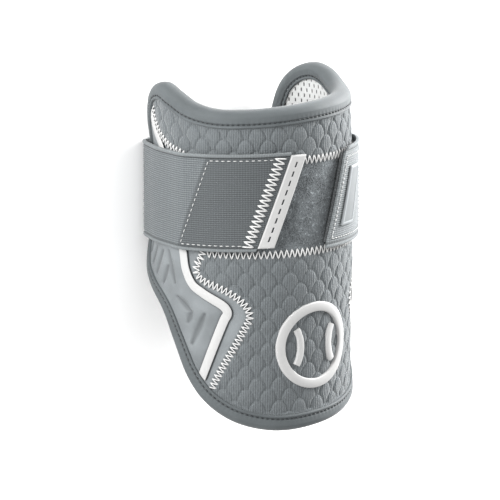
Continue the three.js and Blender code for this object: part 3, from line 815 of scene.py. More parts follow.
def quilted_knit(colour):
    """Soft knit with fine ribs along the arm, lightly mottled, darker between the ribs. A painted shade
    darkens the creases behind the scales' rims, and a painted highlight lightens their raised tops.
    """
    look = Finish("quilted knit", 0.82, specular=0.2, sheen=0.5)
    across, along = look.cloth()
    wander = look.math("MULTIPLY_ADD", look.noise(5 * MM), 0.6 * MM, across)
    ribs = look.ripple(wander, 1.25 * MM)
    courses = look.ripple(along, 0.9 * MM)
    cloud = look.clouds(7 * MM, 5)
    fuzz = look.clouds(1.0 * MM, 4)
    knit = look.times(ribs, look.math("MULTIPLY_ADD", courses, 0.4, 0.6))
    tone = look.mix(knit, shade(colour, 0.78), shade(colour, 1.14))
    tone = look.mix(cloud, tone, look.mix(knit, shade(colour, 0.86), shade(colour, 1.3)))
    tone = look.mix(look.times(fuzz, 0.35), tone, shade(colour, 1.45))
    # Painted shade: the creases behind each scale's rim are mixed darker.
    crease = look.ramp(look.field("relief"), 0.3, 0.0)
    # Painted highlight: each scale's raised top is mixed lighter.
    lip = look.times(look.ramp(look.field("relief"), 0.7, 1.0), 0.12)
    tone = look.mix(lip, tone, shade(colour, 1.7))
    look.colour(look.mix(look.times(crease, 0.15), tone, shade(colour, 0.4)))
    look.emboss(knit, 0.2 * MM)
    look.emboss(fuzz, 0.12 * MM)
    return look.done()


def pressed_face(colour):
    """Smooth fabric pressed over foam: a faint twill and wide soft mottling, with painted shade in the
    pressed grooves and in the channel beside the stripe.
    """
    look = Finish("pressed face", 0.62, specular=0.3, sheen=0.2)
    across, along = look.cloth()
    twill = look.ripple(look.math("ADD", across, along), 0.5 * MM)
    tone = look.mix(look.clouds(14 * MM), shade(colour, 0.88), shade(colour, 1.1))
    tone = look.mix(look.times(twill, 0.2), tone, shade(colour, 0.55))
    # Painted shade: the pressed grooves and the stripe's channel are mixed darker by the relief field.
    groove = look.ramp(look.field("relief"), 0.85, 0.0)
    look.colour(look.mix(look.times(groove, 0.5), tone, shade(colour, 0.35)))
    look.emboss(twill, 0.03 * MM)
    look.emboss(look.noise(0.5 * MM, 2), 0.03 * MM)
    return look.done()


def binding_jersey(colour):
    """Matt jersey tape: fine wales along the tape and a faint gloss."""
    look = Finish("binding jersey", 0.62, specular=0.22, sheen=0.15)
    along, round_it = look.cloth()
    wales = look.ripple(round_it, 0.6 * MM)
    courses = look.ripple(along, 1.0 * MM)
    weave = look.times(wales, look.math("MULTIPLY_ADD", courses, 0.4, 0.6))
    cloud = look.clouds(11 * MM, low=0.25, high=0.75)
    tone = look.mix(cloud, shade(colour, 0.92), shade(colour, 1.08))
    look.colour(look.mix(look.times(weave, 0.3), tone, shade(colour, 0.55)))
    look.emboss(weave, 0.07 * MM)
    return look.done()


def ribbed_elastic(colour, light, rib_pitch):
    """Woven elastic: ribs along the strap crossed by fine picks, dark between the ribs. The sewn patch is
    darker with tight lines, and the strap's other end is a lighter canvas. The rolled edges carry a
    painted highlight, and the sewn ditch inside each a painted shade."""
    look = Finish("ribbed elastic", 0.76, specular=0.25, sheen=0.25)
    around, along = look.cloth()
    edge, ditch = look.field("selvedge"), look.field("ditch")
    patch, canvas = look.field("patch"), look.field("canvas")
    picks = look.ripple(around, 1.3 * MM)
    ribs = look.ripple(look.math("ADD", along, rib_pitch / 4), rib_pitch)
    weave = look.math("MULTIPLY_ADD", picks, 0.25, look.times(ribs, 0.75))
    grain = look.clouds(0.8 * MM, 2, low=0.25, high=0.75)
    plain = look.mix(weave, shade(colour, 0.55), shade(colour, 1.5))
    sewn = look.mix(weave, shade(colour, 0.43), shade(colour, 0.85))
    pale = look.mix(weave, shade(light, 0.66), shade(light, 1.25))
    tone = look.mix(canvas, look.mix(patch, plain, sewn), pale)
    # Painted highlight: the rolled edges are mixed lighter.
    tone = look.mix(look.times(edge, 0.8), tone, shade(light, 1.05))
    # Painted shade: the sewn ditch inside each edge is mixed darker.
    tone = look.mix(look.times(ditch, 0.75), tone, shade(colour, 0.3))
    look.colour(look.mix(look.times(grain, 0.25), tone, shade(colour, 0.55)))
    look.emboss(picks, 0.09 * MM)
    look.emboss(look.noise(0.3 * MM, 2), 0.04 * MM)
    return look.done()


def loop_velour(colour):
    """Napped loop pile: matted fuzz with pale flecks."""
    look = Finish("loop velour", 0.95, specular=0.1, sheen=0.15)
    fuzz = look.clouds(0.8 * MM, 5)
    matted = look.clouds(6 * MM, 4, low=0.4, high=0.65)
    flecks = look.clouds(1.3 * MM, 6, low=0.56, high=0.7)
    tone = look.mix(fuzz, shade(colour, 0.6), shade(colour, 1.35))
    tone = look.mix(look.times(matted, 0.6), tone, shade(colour, 1.6))
    flecks = look.times(flecks, look.math("MULTIPLY_ADD", matted, 0.5, 0.2))
    look.colour(look.mix(flecks, tone, shade(colour, 3.4)))
    look.emboss(fuzz, 0.35 * MM)
    return look.done()


def satin_rubber(colour, edge):
    """Moulded white rubber with a fine slanted brushing, and a dark edge where the piece has one."""
    look = Finish("satin rubber", 0.55, specular=0.3)
    across, along = look.cloth()
    slant = look.math("ADD", look.times(across, 1.7), along)
    brushing = look.times(look.ripple(slant, 0.8 * MM), look.noise(1.5 * MM))
    tone = look.mix(brushing, shade(colour, 1.03), shade(colour, 0.9))
    look.colour(look.mix(look.ramp(look.field("dark_edge"), 0.4, 0.6), tone, edge))
    look.emboss(brushing, 0.04 * MM)
    return look.done()


def perforated_knit(colour):
    """White lining knit with staggered dark slits."""
    look = Finish("perforated knit", 0.82, specular=0.25, sheen=0.3)
    across, along = look.cloth()
    pitch, row = 4.4 * MM, 3.0 * MM
    past_zero = 200.0

    def from_middle(cells):
        """Distance from the middle of a cell, in cells."""
        return look.math("ABSOLUTE", look.math("SUBTRACT", look.math("FRACT", cells), 0.5))

    level = look.math("ADD", look.math("DIVIDE", along, row), past_zero)
    odd = look.math("MODULO", look.math("FLOOR", level), 2.0)
    staggered = look.math("MULTIPLY_ADD", odd, 0.5, look.math("DIVIDE", across, pitch))
    column = look.math("ADD", staggered, past_zero)
    narrow = look.ramp(look.times(from_middle(column), pitch), 0.5 * MM, 0.28 * MM)
    short = look.ramp(look.times(from_middle(level), row), 1.05 * MM, 0.75 * MM)
    slit = look.times(narrow, short)
    stitch = look.times(look.ripple(across, 0.7 * MM), look.ripple(along, 0.6 * MM))
    ground = look.mix(stitch, shade(colour, 0.92), shade(colour, 1.05))
    look.colour(look.mix(slit, ground, shade(colour, 0.1)))
    look.emboss(stitch, 0.08 * MM)
    look.emboss(look.math("SUBTRACT", 1.0, slit), 0.5 * MM)
    return look.done()


def hook_tape(colour):
    """Moulded hook tape: close rows of tiny stubs."""
    look = Finish("hook tape", 0.55, specular=0.45)
    stubs = look.dots(0.9 * MM)
    look.colour(look.mix(look.ramp(stubs, 0.1, 0.6), shade(colour, 1.5), shade(colour, 0.5)))
    look.emboss(look.ramp(stubs, 0.6, 0.1), 0.4 * MM)
    return look.done()


def badge_transfer(colour):
    """Satin grey transfer with a faint orange-peel surface."""
    look = Finish("badge transfer", 0.6, specular=0.3)
    tone = look.mix(look.clouds(6 * MM), shade(colour, 0.95), shade(colour, 1.05))
    look.colour(look.mix(look.field("rim"), tone, shade(colour, 1.7)))
    look.emboss(look.noise(0.6 * MM, 2), 0.04 * MM)
    return look.done()


def pad_foam(colour):
    """Closed-cell foam: fine pores."""
    look = Finish("pad foam", 0.9, specular=0.2)
    pores = look.dots(0.7 * MM)
    look.colour(look.mix(pores, shade(colour, 0.7), shade(colour, 1.15)))
    look.emboss(pores, 0.12 * MM)
    return look.done()


def sewing_thread(name, colour):
    """Twisted polyester thread: slanted plies along each stitch."""
    look = Finish(name, 0.5, specular=0.45, sheen=0.2)
    along, round_it = look.cloth()
    plies = look.ripple(look.math("ADD", along, look.times(round_it, 0.7)), 0.7 * MM)
    look.colour(look.mix(plies, shade(colour, 0.78), shade(colour, 1.06)))
    look.emboss(plies, 0.08 * MM)
    return look.done()


def studio_floor(colour):
    """Matt white studio paper with the faintest mottle."""
    look = Finish("studio paper", 0.9, specular=0.1)
    cloud = look.clouds(0.3, 2, low=0.2, high=0.8)
    look.colour(look.mix(cloud, shade(colour, 0.995), shade(colour, 1.005)))
    return look.done()


FINISHES = {}


def finish(name):
    """The material of a name, made once."""
    colours, sizes = bpy.context.scene.guard_colours, bpy.context.scene.guard_sizes
    makers = {
        "quilt": lambda: quilted_knit(colours.quilt),
        "side": lambda: pressed_face(colours.side),
        "binding": lambda: binding_jersey(colours.binding),
        "strap": lambda: ribbed_elastic(colours.strap, colours.canvas, sizes.rib_pitch),
        "velour": lambda: loop_velour(colours.velour),
        "rubber": lambda: satin_rubber(colours.rubber, colours.ink),
        "lining": lambda: perforated_knit(colours.lining),
        "hook": lambda: hook_tape(colours.hook),
        "badge": lambda: badge_transfer(colours.badge),
        "foam": lambda: pad_foam(colours.foam),
        "white thread": lambda: sewing_thread("white thread", colours.thread),
        "dark thread": lambda: sewing_thread("dark thread", colours.ink),
        "floor": lambda: studio_floor(colours.floor),
    }
    if name not in FINISHES:
        FINISHES[name] = makers[name]()
    return FINISHES[name]


# Settings


def length(name, description, default, low=0.0, high=0.2):
    return bpy.props.FloatProperty(
        name=name, description=description, default=default, min=low, max=high, unit="LENGTH", precision=5
    )


def power(name, description, default):
    return bpy.props.FloatProperty(name=name, description=description, default=default, min=0, unit="POWER")


def tint(name, description, default):
    return bpy.props.FloatVectorProperty(
        name=name, description=description, default=default, size=3, min=0, max=1, subtype="COLOR"
    )


class GuardSizes(bpy.types.PropertyGroup):
    scale_pitch: length("Scale pitch", "Distance between two columns of scales", 11.6 * MM)
    scale_row: length("Scale rows", "Distance between two rows of scales", 12.4 * MM)
    scale_width: length("Scale width", "Width of one scale", 8.8 * MM)
    scale_length: length("Scale length", "Length of one scale", 14.0 * MM)
    scale_height: length("Scale height", "Relief of the quilted scales", 1.3 * MM)
    pressed_depth: length("Pressed grooves", "Depth of the side panels' grooves", 1.1 * MM)
    groove_depth: length("Sewn groove", "Depth of the groove along the binding", SEWN_GROOVE)
    rib_pitch: length("Strap ribs", "Pitch of the ribs along the strap", 1.1 * MM)
    rib_height: length("Rib relief", "Relief of the ribs along the strap", 0.24 * MM)
    seam_stitch: length("Seam stitch", "Pitch of the zigzag on the side seams", 2.5 * MM)
    seam_stitch_width: length("Seam stitch width", "Width of the zigzag on the side seams", 4.6 * MM)
    field_stitch: length("Field stitch", "Pitch of the zigzag over and under the loop field", 3.0 * MM)
    field_stitch_width: length("Field stitch width", "Width of that zigzag", 4.8 * MM)
    front_stitch: length("Front stitch", "Pitch of the bold zigzag beside the pull tab", 2.85 * MM)
    front_stitch_width: length("Front stitch width", "Width of that zigzag", 5.7 * MM)
    box_stitch: length("Box stitch", "Pitch of the running stitches on the strap", 3.0 * MM)
    binding_stitch: length("Binding stitch", "Pitch of the running stitches in the binding", 2.7 * MM)
    thread: length("Thread", "Thickness of the sewing thread", 0.68 * MM)
    camera_distance: length("Camera distance", "From the arm's axis to the camera", 1.74, 0.5, 5)
    key_power: power("Key light", "Power of the soft main light", 24.0)
    fill_power: power("Fill light", "Power of the low fill light", 11.0)
    sky: bpy.props.FloatProperty(
        name="Sky", description="Strength of the even white light", default=1.05, min=0
    )


class GuardColours(bpy.types.PropertyGroup):
    quilt: tint("Quilted knit", "Front panels with the scales", (0.1, 0.11, 0.115))
    side: tint("Side panels", "Pressed side panels", (0.161, 0.175, 0.182))
    binding: tint("Binding", "Folded tape round the edge", (0.082, 0.092, 0.096))
    strap: tint("Strap", "Ribbed elastic", (0.108, 0.119, 0.124))
    canvas: tint("Strap canvas", "Lighter canvas at the strap's side end", (0.15, 0.163, 0.168))
    velour: tint("Loop field", "Napped pile under the strap", (0.094, 0.103, 0.108))
    rubber: tint("White rubber", "Stripes, tab and emblem", (0.4, 0.4, 0.396))
    lining: tint("Lining", "White knit inside", (0.5, 0.505, 0.5))
    hook: tint("Hook tape", "Under the strap's ends", (0.08, 0.086, 0.09))
    badge: tint("Badge", "Plain transfer on the strap", (0.15, 0.16, 0.165))
    foam: tint("Foam", "Core of the shell", (0.12, 0.13, 0.135))
    thread: tint("White thread", "Zigzags and box stitches", (0.56, 0.56, 0.555))
    ink: tint("Dark thread", "Binding stitches and dark outlines", (0.02, 0.023, 0.026))
    floor: tint("Floor", "Studio paper", (0.96, 0.96, 0.96))


class Builder:
    """What every operator here shares: it builds, and an error in building stops the script."""

    bl_options = {"REGISTER", "UNDO"}

    def execute(self, context):
        self.build(context.scene.guard_sizes)
        return {"FINISHED"}


def aim(holder, place, right, back):
    """Stands a camera or a lamp at a place, with its own right and back in two directions."""
    turned = Matrix(np.stack([right, np.cross(back, right), back], axis=1).tolist()).to_4x4()
    holder.matrix_world = Matrix.Translation(place.tolist()) @ turned
    bpy.context.scene.collection.objects.link(holder)


class GUARD_OT_stage(Builder, bpy.types.Operator):
    """Lay the floor, hang the lights and aim the camera"""

    bl_idname = "guard.stage"
    bl_label = "Studio"

    YAW = 39 * DEG
    ELEVATION = 12 * DEG
    TARGET_HEIGHT = 86 * MM
    LENS = 235.5
    NEAR_CLIP = 0.05
    FLOOR_HALF = 3.0
    KEY = (0.88, 0.42, 0.22)
    FILL = (-0.9, 0.42, 0.12)
    LAMP_DISTANCE = 0.85
    LAMP_SIZE = 0.45

    def build(self, sizes):
        yaw, rise = self.YAW, self.ELEVATION
        toward = np.array([-math.sin(yaw) * math.cos(rise), math.sin(rise), math.cos(yaw) * math.cos(rise)])
        right = np.array([math.cos(yaw), 0, math.sin(yaw)])
        target = np.array([AXIS_X, TIP_Y + self.TARGET_HEIGHT, AXIS_Z])
        scene = bpy.context.scene
        camera = bpy.data.objects.new("camera", bpy.data.cameras.new("camera"))
        camera.data.lens = self.LENS
        camera.data.clip_start = self.NEAR_CLIP
        aim(camera, target + toward * sizes.camera_distance, right, toward)
        scene.camera = camera
        scene.view_settings.view_transform = "Standard"

        corners = np.array([[-1, -1], [1, -1], [1, 1], [-1, 1]]) * self.FLOOR_HALF
        mesh = bpy.data.meshes.new("floor")
        mesh.from_pydata(np.hstack([corners, np.zeros((4, 1))]).tolist(), [], [(0, 1, 2, 3)])
        mesh.materials.append(finish("floor"))
        floor = bpy.data.objects.new("floor", mesh)
        scene.collection.objects.link(floor)

        self.lamp("key", self.KEY, target, sizes.key_power)
        self.lamp("fill", self.FILL, target, sizes.fill_power)
        world = scene.world or bpy.data.worlds.new("sky")
        scene.world = world
        world.use_nodes = True
        sky = world.node_tree.nodes["Background"]
        sky.inputs["Color"].default_value = (1, 1, 1, 1)
        sky.inputs["Strength"].default_value = sizes.sky

    def lamp(self, name, direction, target, watts):
        """A square soft box facing the guard."""
        way = np.array(direction) / np.linalg.norm(direction)
        lamp = bpy.data.lights.new(name, "AREA")
        lamp.size = self.LAMP_SIZE
        lamp.energy = watts
        side = np.cross((0, 0, 1), way)
        holder = bpy.data.objects.new(name, lamp)
        aim(holder, target + way * self.LAMP_DISTANCE, side / np.linalg.norm(side), way)


def shell_layer(inset, rows, columns):
    """Places over the whole shell, ruled from the lower half of the outline to its upper half."""
    past_ends = 0.008
    left, right = outline.nearest(laid_out(((-1, WIDEST_UP), (1, WIDEST_UP))))[0]
    lower = outline_run(left - past_ends, right - 1 + past_ends, inset, rows)
    upper = outline_run(left + past_ends, right - past_ends, inset, rows)
    return ruled(lower, upper, columns)


class GUARD_OT_inner_layers(Builder, bpy.types.Operator):
    """Cut the perforated lining and the foam pad"""

    bl_idname = "guard.inner_layers"
    bl_label = "Lining and pad"

    LINING_CELLS = (241, 181, 6)
    PAD_CELLS = (121, 91, 3)

    def build(self, sizes):
        rows, columns, step = self.LINING_CELLS
        places = shell_layer(PANEL_INSET, rows, columns)
        face, back = wrap(places, -STACK), wrap(places, LINING_THICKNESS - STACK)
        lining = slab("lining_knit", face, back, step, finish("lining"), places)
        settle(lining, "lining_mesh", "lining")

        rows, columns, step = self.PAD_CELLS
        places = shell_layer(PAD_INSET, rows, columns)
        low = -STACK + LINING_THICKNESS + LAYER_GAP
        face, back = wrap(places, low + PAD_THICKNESS), wrap(places, low)
        pad = slab("pad_core", face, back, step, finish("foam"), places)
        settle(pad, "pad_foam", "base_pad")


def lower_places(rows, columns):
    """Places of the lower quilted panel, ruled across from its left border to its right one."""
    top = LOOP_LOW - GAP
    tip = 0.01

    def border(side, start):
        foot = seam_ends(side)[0]
        climb = seam_run(side, 0, seams[side].share_at_height(top), 1, SEAM_POINTS)
        below = outline_run(start, foot, PANEL_INSET, FOOT_POINTS)
        return resampled(np.vstack([below[:-1], climb[2:]]), rows)

    places = ruled(border(-1, tip), border(1, 1 - tip), columns)
    places[-1, :, 1] = top
    return places


def upper_places(rows, columns):
    """Places of the upper quilted panel, from the loop field up to the top edge and into both ears."""
    bottom = LOOP_HIGH + GAP
    starts = {side: seams[side].share_at_height(bottom) for side in (-1, 1)}
    left, right = (seam_run(side, start, 1, 1, TOP_POINTS) for side, start in starts.items())
    left = left[::-1]
    left[-1, 1] = right[0, 1] = bottom
    middle = ruled(left[-1:], right[:1], TOP_POINTS)[0]
    low = resampled(np.vstack([left, middle[1:-1], right]), rows)
    high = outline_run(seam_ends(-1)[1], seam_ends(1)[1], PANEL_INSET, rows)
    return ruled(low, high, columns)


class GUARD_OT_quilted_panels(Builder, bpy.types.Operator):
    """Press the two front panels into rounded scales"""

    bl_idname = "guard.quilted_panels"
    bl_label = "Quilted panels"

    EDGE_FADE = 2.6 * MM
    EDGE_SINK = 0.5 * MM
    SCALE_SINK = 0.5
    CELLS = {"lower": (301, 241, 12), "upper": (721, 97, 12)}

    def build(self, sizes):
        for panel, maker in (("lower", lower_places), ("upper", upper_places)):
            rows, columns, step = self.CELLS[panel]
            places = maker(rows, columns)
            fade = border_fade(places, self.EDGE_FADE)
            scales = scale_relief(places, panel, sizes)
            lift = sizes.scale_height * (scales - self.SCALE_SINK) * fade - self.EDGE_SINK * (1 - fade)
            face, back = wrap(places, tucked(places, lift)), wrap(places, -PANEL_THICKNESS)
            # The relief field also paints the knit: painted shade in the creases, painted highlight on the
            # scale tops.
            fields = {"relief": scales * fade}
            piece = slab(f"{panel}_scales", face, back, step, finish("quilt"), places, fields)
            settle(piece, "quilted_fabric", f"{panel}_quilted_panel")


def side_places(side, rows, columns):
    """Places of a side panel, ruled from the outline to its seam."""
    inner = seam_run(side, 0, 1, -1, rows)
    foot, top = seam_ends(side)
    return ruled(outline_run(foot, top, PANEL_INSET, rows), inner, columns)


def mirrored(left, crown):
    """A bar's section from its left half and the height of its middle."""
    left = np.array(left)
    return np.vstack([left, (0, crown), left[::-1] * (-1, 1)])


class GUARD_OT_side_panels(Builder, bpy.types.Operator):
    """Press the side panels with their slanted grooves and seat the stripes in them"""

    bl_idname = "guard.side_panels"
    bl_label = "Side panels and stripes"

    # Points along and across, and the step of the back's columns
    CELLS = (401, 101, 5)
    EDGE_FADE = 2.2 * MM
    EDGE_SINK = 0.5 * MM
    GROOVE_HALF_WIDTH = 2.0 * MM
    CHANNEL_SHOULDER = 1.4 * MM
    CHANNEL_DEPTH = 0.25 * MM
    # How dark the painted shade in the channel beside the stripe is, as a share of a groove's.
    CHANNEL_PAINTED_SHADE = 0.7
    SWELL = 0.7 * MM
    SWELL_FROM, SWELL_TO = 3 * MM, 9 * MM
    FLANGE = 0.22 * MM
    FLANGE_DROP = 0.5 * MM
    FLANGE_SLOPE = 0.05 * MM
    SHOULDER = 0.25 * MM
    CROWN = 0.1 * MM
    STATIONS, TRIALS = 261, 1000

    def build(self, sizes):
        for side, word in ((-1, "left"), (1, "right")):
            rows, columns, step = self.CELLS
            places = side_places(side, rows, columns)
            fade = border_fade(places, self.EDGE_FADE)
            stripe_gap = stripes[side].nearest(places)[1]
            past_stripe = stripe_gap - STRIPE_WIDTH / 2
            channel = 1 - smoothstep(past_stripe, 0, self.CHANNEL_SHOULDER)
            grooves = groove_relief(places, side, self.GROOVE_HALF_WIDTH) * (1 - channel)
            lift = -SIDE_PANEL_DROP - sizes.pressed_depth * grooves
            lift -= self.CHANNEL_DEPTH * channel + self.EDGE_SINK * (1 - fade)
            lift += self.SWELL * smoothstep(stripe_gap, self.SWELL_FROM, self.SWELL_TO) * fade
            # The relief field carries painted shade: darkest in the grooves, less dark in the channel beside
            # the stripe.
            fields = {"relief": 1 - np.maximum(grooves, channel * self.CHANNEL_PAINTED_SHADE)}
            face, back = wrap(places, tucked(places, lift)), wrap(places, -PANEL_THICKNESS)
            piece = slab(f"{word}_pressed_panel", face, back, step, finish("side"), places, fields)
            settle(piece, "moulded_panel", f"{word}_side_panel")
            self.stripe(side, word)

    def stripe(self, side, word):
        """The stripe: a flat bar with rounded shoulders and a thin dark flange on both sides. Each line of
        it runs until it meets the binding, so its ends are cut along the binding's border."""
        line = stripes[side]
        half, top = STRIPE_WIDTH / 2, STRIPE_SEAT + STRIPE_THICKNESS
        inner, shoulder = half - self.FLANGE, self.SHOULDER
        flange = top - self.FLANGE_DROP
        left = [
            (-half, STRIPE_SEAT), (-half, flange), (-inner, flange + self.FLANGE_SLOPE),
            (-inner, top - shoulder), (-inner + 0.35 * shoulder, top - 0.3 * shoulder),
            (-inner + shoulder, top),
        ]
        section = mirrored(left, top + self.CROWN)
        trials = np.linspace(0, 1, self.TRIALS)
        beside = np.tile(section[:, 0], (len(trials), 1))
        edges = line.beside(np.repeat(trials[:, None], len(section), 1), beside)
        clear = outline.nearest(edges)[1] > BINDING_WIDTH + 0.05 * MM
        first, last = trials[clear.argmax(axis=0)], trials[-1 - clear[::-1].argmax(axis=0)]
        share = first + (last - first) * np.linspace(0, 1, self.STATIONS)[:, None]
        beside = beside[: self.STATIONS]
        flanges = (section[:, 1] < top - shoulder).astype(float)
        dark = np.tile(flanges, (self.STATIONS, 1))
        points = wrap(line.beside(share, beside), section[:, 1])
        uv = np.stack([beside, share * line.length], axis=-1)
        piece = swept(f"{word}_stripe_bar", points, finish("rubber"), uv, fields={"dark_edge": dark})
        settle(piece, "white_rubber", f"{word}_stripe")


class GUARD_OT_loop_field(Builder, bpy.types.Operator):
    """Lay the napped field that the strap's ends stick to"""

    bl_idname = "guard.loop_field"
    bl_label = "Loop field"

    CELLS = (91, 241, 8)
    EDGE_FADE = 1.8 * MM
    EDGE_SINK = 0.5 * MM
    NAP_SEAT = 0.1 * MM
    NAP = 0.12 * MM

    def build(self, sizes):
        rows, columns, step = self.CELLS
        edges = []
        for side in (-1, 1):
            low, high = (seams[side].share_at_height(level) for level in (LOOP_LOW, LOOP_HIGH))
            edges.append(seam_run(side, low, high, 1, rows))
        places = ruled(edges[0], edges[1], columns)
        places[0, :, 1], places[-1, :, 1] = LOOP_LOW, LOOP_HIGH
        fade = border_fade(places, self.EDGE_FADE)
        nap = np.random.default_rng(7).uniform(-1, 1, places.shape[:2])
        nap = (nap + np.roll(nap, 1, 0) + np.roll(nap, 1, 1) + np.roll(nap, (1, 1), (0, 1))) / 4
        lift = self.NAP * nap - self.NAP_SEAT - self.EDGE_SINK * (1 - fade)
        face, back = wrap(places, lift), wrap(places, -PANEL_THICKNESS)
        piece = slab("loop_pile", face, back, step, finish("velour"), places)
        settle(piece, "loop_velour", "loop_field")


class GUARD_OT_edge_binding(Builder, bpy.types.Operator):
    """Fold the binding round the whole edge and sew it"""

    bl_idname = "guard.edge_binding"
    bl_label = "Edge binding"

    STATIONS = 1100
    RUFFLE = 0.09 * MM
    LINE_POINTS = 3000
    STITCH_SHARE = 0.6
    STITCH_SINK = 0.33 * MM
    STITCH_THICKNESS = 0.58

    def build(self, sizes):
        share = np.arange(self.STATIONS) / self.STATIONS
        points = binding_points(share, sizes.groove_depth, self.RUFFLE, sizes.binding_stitch)
        round_it = np.concatenate([[0], np.cumsum(np.linalg.norm(np.diff(points[0], axis=0), axis=1))])
        about = round_it[-1] + np.linalg.norm(points[0, 0] - points[0, -1])
        uv = np.stack(np.broadcast_arrays((share * outline.length)[:, None], round_it[None]), axis=-1)
        piece = swept(
            "binding_tape", points, finish("binding"), uv, closed=True, periods=(outline.length, about)
        )
        settle(piece, "binding_tape", "edge_binding")
        self.sew(sizes)

    def sew(self, sizes):
        """Running stitches in the groove of both faces."""
        line = outline_run(0, 1, BINDING_WIDTH - SEWN_IN, self.LINE_POINTS)
        legs = dashes(line, sizes.binding_stitch, self.STITCH_SHARE)
        radius = self.STITCH_THICKNESS * sizes.thread
        for word, side in (("outer", 1), ("inner", -1)):
            lift = side * (OUTER_FACE - self.STITCH_SINK) - STACK / 2
            piece = threads(f"binding_{word}_stitches", wrap, *legs, finish("dark thread"), radius, lift, 0.0)
            settle(piece, "binding_tape")


def strap_slab(name, ends, heights, cells, look, lift, thickness, fields=None):
    """A band on the strap's path. ends are two functions that give the end angles by height, and heights
    are the lowest and the highest one. cells are the points along and across, and the back's step. lift
    and the fields are functions of the places, and the lift is over the taut loop. Hands back the piece
    and its places."""
    rows, columns, step = cells
    along = np.linspace(*heights, columns)
    share = np.linspace(0, 1, rows)[:, None]
    start, stop = (end(along)[None] for end in ends)
    angle = start * (1 - share) + stop * share
    places = np.stack([angle * OUTER_RADIUS, np.tile(along, (rows, 1))], axis=-1)
    face_lift = lift(places)
    face, back = on_strap(places, face_lift), on_strap(places, face_lift.max() - thickness)
    values = {key: maker(places) for key, maker in (fields or {}).items()}
    return slab(name, face, back, step, finish(look), places, values), places


def rim_fade(places, reach):
    """0 on the rim of a band, rising to 1 a reach inside it."""
    share, rise = (np.linspace(0, 1, count) for count in places.shape[:2])
    from_end = np.minimum(share, 1 - share) * np.ptp(places[:, 0, 0])
    from_side = np.minimum(rise, 1 - rise) * np.ptp(places[..., 1])
    return smoothstep(np.minimum(from_end[:, None], from_side[None]), 0, reach)


